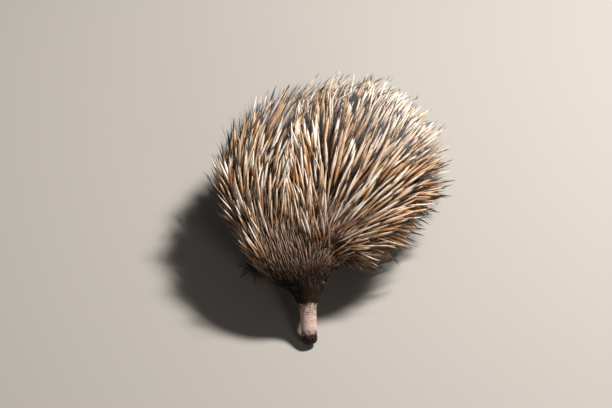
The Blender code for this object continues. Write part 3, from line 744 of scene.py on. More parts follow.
# The lids: their opening's half sizes and depth, how far they and their edges stand over the eyeball, and
# where they end and the face starts. Their folds: how far each is from the eye's middle, its half width, and
# its height under and over the eye.
LID_OPENING = (3.2 * MM, 2.45 * MM)
LID_DEPTH = 3.2 * MM
LID_OVER_EYE, LID_EDGE_OVER_EYE = 0.35 * MM, 0.2 * MM
LIDS_END, FACE_STARTS = 4.3 * MM, 9.0 * MM
LID_FOLDS = (
    (5.3 * MM, 0.55 * MM, (-0.55 * MM, -0.55 * MM)),
    (6.6 * MM, 0.8 * MM, (0.25 * MM, 0.70 * MM)),
    (8.0 * MM, 0.6 * MM, (-0.3 * MM, -0.3 * MM)),
)
# An ear: its opening's half sizes and depth, its rim's radius, and how far its rim and its mound stand out.
EAR_OPENING = (1.5 * MM, 4.6 * MM)
EAR_DEPTH = 5 * MM
EAR_RIM = 1.0 * MM
EAR_STANDS = 0.4 * MM
EAR_MOUND = EAR_STANDS * 0.6


def lids_relief(points):
    """Draws the skin over each eyeball, with an opening and folds round it."""
    for side in (LEFT, RIGHT):
        middle, out = eye_place(side)
        turn = facing(out)
        away = points - middle
        ahead, across, high = (along(away, turn[:, i]) for i in range(3))
        from_axis = np.hypot(across, high)
        near = ahead > -2 * MM
        weight = smooth_step(FACE_STARTS, LIDS_END, from_axis) * near
        over = EYE_RADIUS + LID_OVER_EYE
        lid = np.sqrt(np.maximum(over**2 - np.minimum(from_axis, LIDS_END) ** 2, 0))
        lid = lid - np.maximum(from_axis - LIDS_END, 0) * 0.42
        above = smooth_step(-3 * MM, 4 * MM, high)
        fold = sum(
            between(*heights, above) * np.exp(-(((from_axis - away_from_eye) / half) ** 2))
            for away_from_eye, half, heights in LID_FOLDS
        )
        points = points + out * ((lid - ahead) * weight + fold * near)[:, None]
        opening = np.hypot(across / LID_OPENING[0], high / LID_OPENING[1])
        inside = smooth_step(1.0, 0.74, opening) * near
        points = points - out * (inside * LID_DEPTH)[:, None]
    return points


def ears_relief(points, out):
    """Sinks an upright slit for each ear, inside its fleshy rim."""
    for side in (LEFT, RIGHT):
        middle, faces = ear_place(side)
        turn = facing(faces)
        away = points - middle
        ahead, across, high = (along(away, turn[:, i]) for i in range(3))
        opening = np.hypot(across / EAR_OPENING[0], high / EAR_OPENING[1])
        near = ahead > -9 * MM
        mound = smooth_step(2.6, 1.1, opening) * EAR_MOUND
        slit = smooth_step(1.0, 0.5, opening) * EAR_DEPTH
        points = points + out * ((mound - slit) * near)[:, None]
    return points


def beak_relief(points, place):
    """Nostrils on the tip of the beak, and the line of the mouth under it."""
    middle, tail_way, left, up = body_frame(np.array(NOSTRIL_BEHIND_TIP))
    top = SHAPES.at(NOSTRIL_BEHIND_TIP)[3]
    for side in (LEFT, RIGHT):
        away = points - (middle + up * top * 0.9 + left * side * NOSTRIL_APART / 2)
        slant = unit(tail_way + left * side * 0.35)
        across = along(away, np.cross(slant, up))
        length = along(away, slant)
        opening = np.hypot(across / NOSTRIL_HALF[0], length / NOSTRIL_HALF[1])
        near = along(points - middle, up) > 0
        rim = NOSTRIL_RIM * np.exp(-(((opening - 1.5) / 0.45) ** 2))
        hole = NOSTRIL_DEPTH * smooth_step(1.25, 0.6, opening)
        points = points + up * ((rim - hole) * near)[:, None]
    tip, _, _, tip_up = body_frame(np.array(0.0))
    drop = along(points - tip, tip_up) + MOUTH_DROP
    lips = np.exp(-((drop / LIPS_HALF) ** 2)) * smooth_step(MOUTH_LENGTH, MOUTH_LENGTH * 0.8, place)
    inwards = unit(body_frame(place)[0] - points)
    return points + inwards * (lips * LIPS_DEPTH)[:, None]


def trunk_point(across, rows):
    """The skin of the beak, head, body and tail, from its share round the body and along it."""
    place = row_place(rows)
    angle = (across * 2 - 1) * math.pi
    points, _, _, out = body_surface(place, angle, skin_depth(place))
    middle = body_frame(place)[0]
    nose = np.clip(place / NOSE_ROUND, 0, 1)
    tail = np.clip((WHOLE_LINE - place) / TAIL_ROUND, 0, 1)
    rounding = np.sqrt(1 - (1 - nose) ** 2) * np.sqrt(1 - (1 - tail) ** 2)
    points = middle + (points - middle) * rounding[:, None]
    points = beak_relief(points, place)
    points = ears_relief(points, out)
    return lids_relief(points) + SHIFT


def build_trunk():
    """The skin of the beak, head, body and tail, still without its limbs."""
    shape = bmesh.new()
    tube(shape, SKIN_COLUMNS, HEAD_ROWS + TRUNK_ROWS, trunk_point)
    close_ends(shape)
    bmesh.ops.recalc_face_normals(shape, faces=shape.faces)
    return piece("skin", shape)


def rim_ring(shape, columns, rows, middle_of, radius_of, centre):
    """A closed ring of soft tissue, round in section, along a closed path round a centre."""

    def point_of(section, path):
        turn = 2 * math.pi * path
        here = middle_of(turn)
        ahead = unit(middle_of(turn + 0.01) - middle_of(turn - 0.01))
        aside = unit(np.cross(ahead, here - centre))
        rise = np.cross(ahead, aside)
        return here + turned_to(aside, rise, 2 * math.pi * section) * radius_of(turn)[:, None] + SHIFT

    tube(shape, columns, rows, point_of)


def lid_edge(t):
    """The radius of the lids' edge round the eye, which is thicker above it."""
    return (0.42 + 0.1 * np.sin(t)) * MM


def ear_edge(t):
    """The radius of an ear's rim, which is thicker at its front and back."""
    return EAR_RIM * (0.85 + 0.25 * np.abs(np.cos(t)))


def add_rims(shape):
    """The lids' edges round each eye and the rim of each ear."""
    for side in (LEFT, RIGHT):
        eye, out = eye_place(side)
        ear, ear_out = ear_place(side)
        sunk = ear - ear_out * (skin_depth(PLACE["eyes"] + EAR_BEHIND_EYE) - EAR_STANDS)

        def lid_middle(t, eye=eye, turn=facing(out)):
            across, high = LID_OPENING[0] * np.cos(t), LID_OPENING[1] * np.sin(t)
            ahead = np.sqrt((EYE_RADIUS + LID_EDGE_OVER_EYE) ** 2 - across**2 - high**2)
            return eye + np.stack([ahead, across, high], -1) @ turn.T

        def ear_middle(t, sunk=sunk, turn=facing(ear_out), side=side):
            across, high = EAR_OPENING[0] * 1.5 * np.cos(t), EAR_OPENING[1] * 1.2 * np.sin(t)
            ahead = 0.7 * MM * np.cos(t) * side - 0.5 * MM
            return sunk + np.stack([ahead, across, high], -1) @ turn.T

        rim_ring(shape, 10, 44, lid_middle, lid_edge, eye)
        rim_ring(shape, 10, 40, ear_middle, ear_edge, ear - ear_out * 8 * MM)


def paw_middle(paw):
    return np.array((paw.x, paw.y, 0.0)) * MM


def toe_place(paw, toe):
    """Where a toe ends and its claw begins, and the level direction that it points in."""
    way = level_way(paw.heading + paw.side * toe.spread)
    return paw_middle(paw) + way * toe.reach * MM + UP * TOE_HEIGHT, way


def path_tube(shape, columns, rows, path, radii, level=True):
    """A tube along one table's places with another's radii, cut level all along or square to its path."""

    def point_of(across, share):
        if level:
            aside, rise = np.array((1.0, 0.0, 0.0)), np.array((0.0, 1.0, 0.0))
        else:
            ahead = unit(path.at(share + 0.01) - path.at(share - 0.01))
            aside = unit(np.cross(ahead, UP))
            rise = np.cross(aside, ahead)
        return path.at(share) + turned_to(aside, rise, 2 * math.pi * across) * radii.at(share) + SHIFT

    tube(shape, columns, rows, point_of)
    close_ends(shape)


def leg_tables(paw):
    """The path and the radii of a leg, from under the body to its wrist."""
    inwards, back, height = paw.leg_reach
    foot = paw_middle(paw)
    root = foot + np.array((inwards * paw.side, back, height)) * MM
    wrist = foot + UP * WRIST_HEIGHT
    knee = foot + (root - foot) * 0.35 + UP * WRIST_HEIGHT * 0.9 + np.array((4 * MM * paw.side, 0, 0))
    path = SmoothTable([0.0, 0.45, 1.0], [root, knee, wrist])
    radii = SmoothTable([0.0, 0.35, 0.7, 1.0], [(r * MM - LEG_FUR_DEPTH,) for r in paw.leg_radii])
    return path, radii


LIMB_VOXEL = 1.25 * MM
# How thick a toe is at its root, along it, at its last joint and at its end, as shares of its radius.
TOE_SHAPE = (1.2, 0.94, 1.06, 0.82)


def build_limb(paw):
    """A leg with its paw and toes, as one soft form that stands flat on the floor."""
    shape = bmesh.new()
    path, radii = leg_tables(paw)
    path_tube(shape, 40, 24, path, radii)
    foot = paw_middle(paw)
    turn = Matrix.Rotation(math.radians(paw.heading), 3, "Z")
    half = Vector(paw.half) * MM - Vector([PAW_FUR_DEPTH] * 3)
    ball(shape, foot + UP * 2 * MM + SHIFT, half, turn, 32, 20)
    wrist = paw.leg_radii[-1] * MM - PAW_FUR_DEPTH
    wrist_line = SmoothTable([0.0, 1.0], [foot + UP * 6 * MM, foot + UP * 20 * MM])
    path_tube(shape, 32, 4, wrist_line, SmoothTable([0.0, 1.0], [(wrist * 0.92,)] * 2))
    for toe in paw.toes:
        end, way = toe_place(paw, toe)
        radius = toe.radius * MM - PAW_FUR_DEPTH * 0.4
        toe_line = SmoothTable(
            [0.0, 0.55, 1.0],
            [foot + way * 5 * MM + UP * 7 * MM, end - way * 7 * MM + UP * 1.8 * MM, end - way * 0.4 * MM],
        )
        toe_radii = SmoothTable([0.0, 0.5, 0.8, 1.0], [(radius * part,) for part in TOE_SHAPE])
        path_tube(shape, 16, 14, toe_line, toe_radii, level=False)
        pad = end - way * 2.6 * MM - UP * 1.4 * MM + SHIFT
        ball(shape, pad, [radius * 1.02] * 3, Matrix.Identity(3), 14, 10)
    bmesh.ops.recalc_face_normals(shape, faces=shape.faces)
    limb = piece("limb_" + paw.name, shape)
    soften = limb.modifiers.new("one form", "REMESH")
    soften.mode = "VOXEL"
    soften.voxel_size = LIMB_VOXEL
    ease = limb.modifiers.new("eased", "SMOOTH")
    ease.factor = 0.5
    ease.iterations = 4
    apply_modifiers(limb)
    shape = bmesh.new()
    shape.from_mesh(limb.data)
    for vert in shape.verts:
        vert.co.z = max(vert.co.z, 0.0)
    shape.to_mesh(limb.data)
    shape.free()
    return limb


LINE_STEPS = 300
AT_ONCE = 20000


def place_on_line(points):
    """The nearest place along the line, and the angle round it, of each point."""
    places = np.linspace(0, WHOLE_LINE, LINE_STEPS)
    middles, tail_ways, lefts, ups = body_frame(places)
    nearest = np.empty(len(points), int)
    for start in range(0, len(points), AT_ONCE):
        part = points[start : start + AT_ONCE, None] - middles[None]
        off = np.abs(np.einsum("nkc,kc->nk", part, tail_ways)) + 0.05 * np.linalg.norm(part, axis=2)
        nearest[start : start + AT_ONCE] = off.argmin(axis=1)
    away = points - middles[nearest]
    step = WHOLE_LINE / (len(places) - 1)
    exact = places[nearest] + np.clip(along(away, tail_ways[nearest]), -step, step)
    return exact, np.arctan2(along(away, lefts[nearest]), along(away, ups[nearest]))


def join_skin(trunk, limbs):
    """Fuses the limbs into the trunk's skin, adds the rims, and gives each point its colour."""
    group = bpy.data.collections.new("limbs")
    for limb in limbs:
        group.objects.link(limb)
    fuse = trunk.modifiers.new("fuse", "BOOLEAN")
    fuse.operation = "UNION"
    fuse.operand_type = "COLLECTION"
    fuse.collection = group
    fuse.solver = "MANIFOLD"
    apply_modifiers(trunk)
    bpy.data.collections.remove(group)
    shape = bmesh.new()
    shape.from_mesh(trunk.data)
    add_rims(shape)
    bmesh.ops.recalc_face_normals(shape, faces=shape.faces)
    for face in shape.faces:
        face.smooth = True
    shape.to_mesh(trunk.data)
    shape.free()
    colour_skin(trunk.data)


def colour_skin(mesh):
    """Gives each point of the skin its colour, how bare it is, and its place on the body's line."""
    points = mesh_places(mesh) - SHIFT
    place, angle = place_on_line(points)
    inside = body_point(place, angle)
    middle = body_frame(place)[0]
    beyond = np.linalg.norm(points - middle, axis=1) - np.linalg.norm(inside - middle, axis=1)
    limb = smooth_step(1 * MM, 5 * MM, beyond) * (place > PLACE["nape"])
    paw = smooth_step(18 * MM, 9 * MM, points[:, 2]) * limb
    bare = smooth_step(PLACE["hairline"] + 2 * MM, PLACE["hairline"] - 1 * MM, place)
    lid = smooth_step(*LID_HIDE_ENDS, eye_gap(points))
    colours = hide_colour(place, angle)
    for tint, share in ((LEG_HIDE, limb), (PAW_HIDE, paw), (LID_HIDE, lid)):
        colours = blended(colours, np.array(tint), share)
    carry(mesh, "hide_colour", colours, "FLOAT_COLOR")
    carry(mesh, "bare", np.maximum(np.maximum(bare, lid), paw))
    carry(mesh, "ring_place", place)
    carry(mesh, "ring_turn", angle)


def build_eye(side, finish):
    """A smooth eyeball with a slight cornea."""
    middle, out = eye_place(side)
    shape = bmesh.new()
    verts = ball(shape, middle + SHIFT, [EYE_RADIUS] * 3, Matrix(facing(out)), 40, 28)
    looks = []
    for vert in verts:
        way = unit(np.array(vert.co) - middle - SHIFT)
        look = float(way @ out)
        vert.co += Vector(way) * 0.3 * MM * float(smooth_step(0.72, 0.92, look))
        looks.append(look)
    name = f"eye_{'left' if side == LEFT else 'right'}"
    eye = piece("wet_" + name, shape, finish)
    carry(eye.data, "look", looks)
    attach(eye, "root")
    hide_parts(name)


CLAW_COLUMNS, CLAW_ROWS = 16, 18


def build_claws(paw, finish):
    """The claws of a paw, flattened and curved down, with a shallow channel underneath."""
    shape = bmesh.new()
    shares, turns = [], []
    for toe in paw.toes:
        end, way = toe_place(paw, toe)
        base = toe.radius * 0.76 * MM
        sweep = math.radians(toe.sweep) * paw.side

        def claw_point(across, share, end=end, way=way, base=base, sweep=sweep, toe=toe):
            share = np.clip(share, 0, 1)
            ahead = turned_to(way, np.cross(UP, way), sweep * share)
            middle = end + way * CLAW_GAP + ahead * (toe.claw * MM * share)[:, None]
            middle = middle - UP * (CLAW_DROP * share**1.6)[:, None]
            radius = base * (1 - 0.72 * share**1.5) * np.sqrt(1 - smooth_step(0.93, 1.0, share) ** 2)
            angle = 2 * math.pi * across
            hollow = 1 - 0.35 * np.clip(-np.sin(angle), 0, 1) ** 2
            aside = unit(np.cross(ahead, UP))
            rise = radius * CLAW_FLATNESS * np.sin(angle) * hollow
            return middle + aside * (radius * np.cos(angle))[:, None] + UP * rise[:, None] + SHIFT

        before = len(shape.verts)
        tube(shape, CLAW_COLUMNS, CLAW_ROWS, claw_point)
        shape.verts.ensure_lookup_table()
        away = vert_places(shape.verts[before:]) - SHIFT - end
        shares += list(np.clip(np.linalg.norm(away[:, :2], axis=1) / (toe.claw * MM), 0, 1))
        turns += list(away @ np.cross(way, UP) / base)
    close_ends(shape)
    bmesh.ops.recalc_face_normals(shape, faces=shape.faces)
    claws = piece("claws_" + paw.name, shape, finish)
    carry(claws.data, "along", shares)
    carry(claws.data, "turn", turns)
    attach(claws, "root")
    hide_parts(*[f"claw_{paw.name}_{number}" for number in range(1, 6)])


# Strands: where each is rooted, where it points, the skin's way out there, its length, its width, how far
# it bows outwards and curls sideways, its place on the skin's map, its tone and its root's colour.
Strands = collections.namedtuple("Strands", "roots ways outs lengths widths bows curls maps tones colours")
# The skin's map: a strand's patch, the map's edge and its size, and the size of each limb's quarter.
PATCH = 0.003
MAP_EDGE, MAP_SIZE, LIMB_MAP_SIZE = 0.01, 0.97, 0.48


def picked(strands, keep):
    return Strands(*(values[keep] for values in strands))


def strand_mesh(name, strands, form, extra):
    """One joined mesh of closed, tapering strands, each with its own small patch of the map."""
    shares, thick = np.array(form.profile).T
    sides, count, rings = form.sides, len(strands.roots), len(shares)
    aside = unit(np.cross(strands.ways, strands.outs))

    def path(t):
        way = strands.ways[:, None] * t[None, :, None]
        bow = strands.outs[:, None] * (strands.bows[:, None] * 4 * t * (1 - t))[..., None]
        curl = aside[:, None] * (strands.curls[:, None] * t * t)[..., None]
        return strands.roots[:, None] + (way + bow + curl) * strands.lengths[:, None, None]

    middles = path(shares)
    ahead = unit(path(shares + 0.01) - path(shares - 0.01))
    across = unit(np.cross(ahead, strands.outs[:, None]))
    rise = np.cross(across, ahead)
    turns = 2 * math.pi * np.arange(sides) / sides
    radius = (strands.widths[:, None] * thick)[..., None, None]
    ring = turned_to(across[:, :, None], rise[:, :, None] * form.flatness, turns)
    body = (middles[:, :, None] + ring * radius).reshape(count, rings * sides, 3)
    points = np.concatenate([body, path(np.array([1.0]))], axis=1) + SHIFT
    size = rings * sides + 1

    # One strand's faces: its sides ring by ring, then its tip, then its root. Their corners come with their
    # places on its patch.
    corners, local = [], []
    for j in range(rings - 1):
        low, high = shares[j], shares[j + 1]
        for i in range(sides):
            k = (i + 1) % sides
            left, right = i / sides, (i + 1) / sides
            corners.append((j * sides + i, (j + 1) * sides + i, (j + 1) * sides + k, j * sides + k))
            local.append(((left, low), (left, high), (right, high), (right, low)))
    last = (rings - 1) * sides
    for i in range(sides):
        k = (i + 1) % sides
        corners.append((last + i, size - 1, last + k))
        local.append(((i / sides, shares[-1]), ((i + 0.5) / sides, 1.0), ((i + 1) / sides, shares[-1])))
    corners.append(tuple(range(sides)))
    local.append(tuple((0.5 + 0.4 * math.cos(t), -0.12 + 0.1 * math.sin(t)) for t in turns))

    lengths = np.array([len(face) for face in corners])
    flat_corners = np.concatenate([np.array(face) for face in corners])
    flat_local = np.concatenate([np.array(face) for face in local])
    mesh = bpy.data.meshes.new(name)
    mesh.vertices.add(count * size)
    mesh.vertices.foreach_set("co", points.astype(np.float32).ravel())
    loops = (flat_corners[None] + size * np.arange(count)[:, None]).ravel()
    mesh.loops.add(len(loops))
    mesh.loops.foreach_set("vertex_index", loops.astype(np.int32))
    starts = np.concatenate([[0], np.cumsum(np.tile(lengths, count))[:-1]])
    mesh.polygons.add(len(starts))
    mesh.polygons.foreach_set("loop_start", starts.astype(np.int32))
    mesh.polygons.foreach_set("use_smooth", np.ones(len(starts), bool))
    mesh.update(calc_edges=True)
    layer = mesh.uv_layers.new(name="OFBake", do_init=False)
    places = strands.maps[:, None] + flat_local[None] * PATCH
    layer.uv.foreach_set("vector", places.astype(np.float32).ravel())
    carry(mesh, "along", np.tile(np.append(np.repeat(shares, sides), 1.0), count))
    carry(mesh, "tone", np.repeat(strands.tones, size))
    carry(mesh, "hide_colour", np.repeat(strands.colours, size, axis=0), "FLOAT_COLOR")
    for key, values in extra.items():
        carry(mesh, key, np.repeat(values, size))
    return mesh


def add_coat(name, slot, strands, form, finish, **extra):
    """A piece of the coat, in its place and with its finish, and with any more numbers for each strand."""
    mesh = strand_mesh(name, strands, form, extra)
    mesh.materials.append(finish)
    obj = bpy.data.objects.new(name, mesh)
    bpy.context.scene.collection.objects.link(obj)
    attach(obj, "root")


def spread_roots(start, end, span, spacing, draw, jitter=0.5):
    """Roots spread evenly over a span of angles, as places and angles, each moved a little."""
    places, angles = [], []
    rows = max(1, round((end - start) / spacing))
    steps = np.linspace(*span, 81)
    for row in range(rows):
        place = start + (end - start) * (row + 0.5) / rows
        points = body_point(np.full(len(steps), place), steps)
        arc = np.concatenate([[0], np.cumsum(np.linalg.norm(np.diff(points, axis=0), axis=1))])
        count = max(1, round(arc[-1] / spacing))
        at = (np.arange(count) + 0.25 + 0.5 * (row % 2) + draw.uniform(-jitter, jitter, count)) / count
        angles.append(np.interp(at * arc[-1], arc, steps))
        places.append(place + draw.uniform(-jitter, jitter, count) * spacing)
    return np.clip(np.concatenate(places), start, end), np.concatenate(angles)


def map_place(place, angle):
    """Where a root is on the skin's own unwrap: along the body, and round it."""
    return MAP_EDGE + MAP_SIZE * np.stack([place / WHOLE_LINE, angle / (2 * math.pi) % 1.0], -1)


def spine_lie(place, angle):
    """The spines' length, their rise, their lean, the side that they lean to, and the parting's distance."""
    length, flank_length, raised, right_raised, crest, parting, *leans = COATS.at(place).T
    left_top, left_start, left_flank, right_top, right_flank = leans
    on_left = angle > crest
    share = np.minimum(np.abs(angle - crest) / (math.pi / 2), 1.25)
    past = (angle - parting) / (math.pi / 2 - parting)
    parted = between(left_start, left_flank, np.clip(past, 0, 1.25))
    over = smooth_step(-PARTING_HALF, PARTING_HALF, angle - parting)
    lean = np.where(on_left, between(left_top, parted, over), between(right_top, right_flank, share))
    lean = lean * smooth_step(0, CREST_HALF, np.abs(angle - crest))
    raised = np.where(on_left, raised, between(raised, right_raised, np.minimum(share, 1.0)))
    length = between(length, flank_length, smooth_step(FLANK_STARTS, 1.0, share))
    fading = np.clip((np.abs(angle) - SPINES_SHORTEN) / (SPINES_REACH - SPINES_SHORTEN), 0, 1.4)
    length = length * (1 - (1 - SHORTEST_SHARE) * fading)
    return length, raised, lean, np.where(on_left, 1.0, -1.0), np.abs(angle - parting)


def soft_noise(points, scale, seed):
    """A smooth random number from about -1 to 1 at each point, that changes over this many metres."""
    draw = np.random.default_rng(seed)
    total = np.zeros(len(points))
    for _ in range(7):
        way = unit(draw.normal(size=3)) * draw.uniform(0.6, 1.7) * 2 * math.pi / scale
        total += np.sin(points @ way + draw.uniform(0, 2 * math.pi))
    return total / 3.0


def grow_spines(finish):
    """The long spines, in three pieces from the nape to the tail."""
    draw = np.random.default_rng(SPINES_SEED)
    start, end = PLACE["nape"] - SPINES_ARCH, WHOLE_LINE - 4 * MM
    place, angle = spread_roots(start, end, BACK, SPINE_SPACING, draw, 0.32)
    from_brow = np.abs(angle - BROW_MIDDLE)
    arch = PLACE["nape"] + SPINES_ARCH / 2 - SPINES_ARCH * 1.5 * smooth_step(*ARCH_SPREAD, from_brow)
    parted = (spine_lie(place, angle)[-1] < PARTING_HALF) & (place < PLACE["middle"])
    keep = (place > arch) & ~(parted & (draw.uniform(size=len(place)) < 0.6))
    place, angle = place[keep], angle[keep]
    point, back, around, out = body_surface(place, angle)
    length, raised, lean, side, _ = spine_lie(place, angle)
    count = len(place)
    low = smooth_step(math.radians(50), math.radians(105), np.abs(angle))
    front = smooth_step(PLACE["middle"], PLACE["nape"], place)
    rear = smooth_step(PLACE["middle"], PLACE["rump"], place)
    loose = math.radians(6.5) * (1 + 0.5 * low)
    lean = lean + math.radians(6) * soft_noise(point, 30 * MM, 1) + draw.normal(0, loose)
    uneven = math.radians(4.5) * soft_noise(point, 26 * MM, 2) + draw.normal(0, math.radians(5), count)
    raised = raised + np.minimum(uneven, MOST_RISE)
    way = unit(turned_to(turned_to(back, around, side * lean), out, raised))
    length = length * draw.uniform(0.64, 1.1, count)
    fine = (1 - 0.4 * low) * (1 - 0.2 * front) * (1 - 0.25 * rear)
    width = (0.75 + 1.3 * np.minimum(length / (55 * MM), 1)) * fine * draw.uniform(0.7, 1.15, count) * MM
    bow = 0.035 + draw.normal(0, 0.012, count)
    curl = draw.normal(0, 0.035, count)
    # Painted light and shade in the tone: darker on the low flanks, lighter towards the front, and lighter
    # towards the rear as a painted sheen, over random variation.
    tone = 0.46 - 0.85 * low + 0.30 * front + 0.22 * rear
    tone = tone + 0.22 * soft_noise(point, 60 * MM, 3) + draw.normal(0, 0.32, count)
    tipped = draw.uniform(size=count) < 0.68 + 0.3 * low
    # The amber reaches further on the low flanks and less far at the rear; the rear's paler spines are partly
    # a painted sheen.
    amber_end = draw.normal(0.3 + 0.05 * front + 0.4 * low - 0.12 * rear, 0.2, count)
    dark_start = draw.uniform(0.70 - 0.35 * low, 0.92 - 0.1 * low, count)
    past_tip = draw.uniform(0.93, 1.1, count)
    strands = Strands(
        point - way * SPINE_ROOT,
        way,
        out,
        length + SPINE_ROOT,
        width,
        bow,
        curl,
        map_place(place, angle),
        np.clip(tone, 0, 1),
        hide_colour(place, angle),
    )
    amber_end = np.clip(amber_end, 0.05, 0.9)
    dark_start = np.where(tipped, dark_start, past_tip)
    cuts = (0.0, PLACE["shoulders"] + 25 * MM, PLACE["loin"] + 20 * MM, 1.0)
    for name, low, high in zip(("neck", "back", "rump"), cuts, cuts[1:]):
        keep = (place >= low) & (place < high)
        colours = {"amber_end": amber_end[keep], "dark_start": dark_start[keep]}
        add_coat("spines_" + name, "spines", picked(strands, keep), SPINE_FORM, finish, **colours)


def grow_bristles(layer, finish):
    """One layer of the head's bristles, which fan out from the beak and grow longer towards the neck."""
    draw = np.random.default_rng(layer.seed)
    start, end = PLACE["eyes"] - 6 * MM, PLACE["neck"] + 6 * MM
    place, angle = spread_roots(start, end, BACK, layer.spacing * MM, draw)
    keep = draw.uniform(size=len(place)) < smooth_step(PLACE["eyes"] - 8 * MM, PLACE["eyes"] + 12 * MM, place)
    keep &= eye_gap(body_point(place, angle)) > BRISTLES_FROM_EYE
    place, angle = place[keep], angle[keep]
    point, back, around, out = body_surface(place, angle, skin_depth(place))
    point = lids_relief(point)
    count = len(place)
    grown = smooth_step(PLACE["eyes"], PLACE["neck"], place)
    # Painted light and shade: the bristles are paler over the brow and darker by the eyes and towards the
    # neck.
    lit = 0.3 + 0.7 * smooth_step(PLACE["eyes"], PLACE["brow"] + 8 * MM, place)
    lit *= 1 - 0.6 * smooth_step(PLACE["nape"] - 6 * MM, PLACE["neck"] - 4 * MM, place)
    lean = np.abs(angle) * 0.25 + math.radians(5) * soft_noise(point, 24 * MM, layer.seed)
    lean += draw.normal(0, math.radians(3.5), count)
    raised = math.radians(layer.raised) * (0.75 + 0.6 * grown) + draw.normal(0, math.radians(3), count)
    strands = Strands(
        point,
        unit(turned_to(turned_to(back, around, lean), out, raised)),
        out,
        between(*layer.length, grown) * draw.uniform(0.75, 1.2, count) * MM,
        between(*layer.width, grown) * draw.uniform(0.75, 1.2, count) * MM,
        0.05 + draw.normal(0, 0.012, count),
        draw.normal(0, 0.02, count),
        map_place(place, angle),
        draw.uniform(*layer.tones, count) * lit,
        hide_colour(place, angle),
    )
    add_coat(layer.name, "spines", strands, BRISTLE_FORM, finish)


def grow_fur(pelt, finish):
    """One piece of the fur that lies towards the tail, shorter and more raised round the eyes."""
    draw = np.random.default_rng(pelt.seed)
    start, end = PLACE[pelt.start] + pelt.start_step * MM, PLACE[pelt.end] + pelt.end_step * MM
    place, angle = spread_roots(start, end, pelt.angles, pelt.spacing * MM, draw)
    depth, length, raised = FURS.at(place).T
    point, back, around, out = body_surface(place, angle, depth)
    rooted = lids_relief(point)
    count = len(place)
    from_eye = eye_gap(rooted)
    growing = smooth_step(*FUR_THINS, place - PLACE["hairline"])
    keep = (from_eye > FUR_FROM_EYE) & (draw.uniform(size=count) < growing)
    length = length * (0.35 + 0.65 * smooth_step(5 * MM, 14 * MM, from_eye))
    clump = soft_noise(point, 9 * MM, pelt.seed + 50)
    girth = angle * SHAPES.at(place)[:, 2]
    streak = soft_noise(np.stack([place * 0.2, girth, 0 * girth], -1), 3.2 * MM, pelt.seed + 70)
    _, _, lean, side, _ = spine_lie(np.maximum(place, PLACE["nape"]), angle)
    lean = lean * smooth_step(PLACE["brow"], PLACE["neck"], place)
    lean = lean + math.radians(9) * clump + draw.normal(0, math.radians(pelt.loose), count)
    uneven = math.radians(4) * clump + draw.normal(0, math.radians(pelt.loose * 0.6), count)
    raised = raised * pelt.lift + np.minimum(uneven, MOST_RISE)
    by_eye = smooth_step(13 * MM, 6 * MM, from_eye)
    raised = np.maximum(raised, math.radians(4)) + math.radians(13) * by_eye
    flat = turned_to(back, around, side * lean)
    flat = unit(lids_relief(point + flat * 0.5 * MM) - rooted)
    shade = np.clip(1 + 0.2 * clump + 0.3 * streak, 0.3, 1.8)
    strands = Strands(
        rooted - out * ((0.4 - 0.35 * by_eye) * MM)[:, None],
        unit(turned_to(flat, out, raised)),
        out,
        length * pelt.lengths * draw.uniform(0.7, 1.2, count),
        pelt.width * MM * draw.uniform(0.7, 1.25, count),
        0.05 + draw.normal(0, 0.02, count),
        draw.normal(0, pelt.curl, count),
        map_place(place, angle),
        np.clip(0.42 + 0.3 * streak + draw.normal(0, 0.2, count), 0, 1),
        hide_colour(np.maximum(place, PLACE["eyes"]), angle) * shade[:, None],
    )
    add_coat(pelt.name, "short_fur", picked(strands, keep), HAIR_FORM, finish)


def enclosed(tree, point):
    """Whether a point is inside the closed surface, by how often a line straight up crosses it."""
    crossings = 0
    up = Vector(UP)
    hit = tree.ray_cast(point, up)[0]
    while hit and crossings < 12:
        crossings += 1
        hit = tree.ray_cast(hit + up * 0.01 * MM, up)[0]
    return crossings % 2 == 1


def surface_tree(obj):
    """The surface as a tree that rays and near points are looked up in."""
    mesh = obj.data
    return BVHTree.FromPolygons([v.co for v in mesh.vertices], [p.vertices for p in mesh.polygons])


def points_on(mesh, count, draw):
    """Random points spread evenly over a mesh, and the way out at each."""
    mesh.calc_loop_triangles()
    triangles = np.empty(len(mesh.loop_triangles) * 3, np.int32)
    mesh.loop_triangles.foreach_get("vertices", triangles)
    corners = mesh_places(mesh)[triangles.reshape(-1, 3)]
    across, down = corners[:, 1] - corners[:, 0], corners[:, 2] - corners[:, 0]
    cross = np.cross(across, down)
    area = np.linalg.norm(cross, axis=1)
    drawn = draw.choice(len(area), count, p=area / area.sum())
    first, second = draw.uniform(size=(2, count))
    past = first + second > 1
    first, second = np.where(past, 1 - first, first), np.where(past, 1 - second, second)
    points = corners[drawn, 0] + across[drawn] * first[:, None] + down[drawn] * second[:, None]
    return points, unit(cross[drawn])


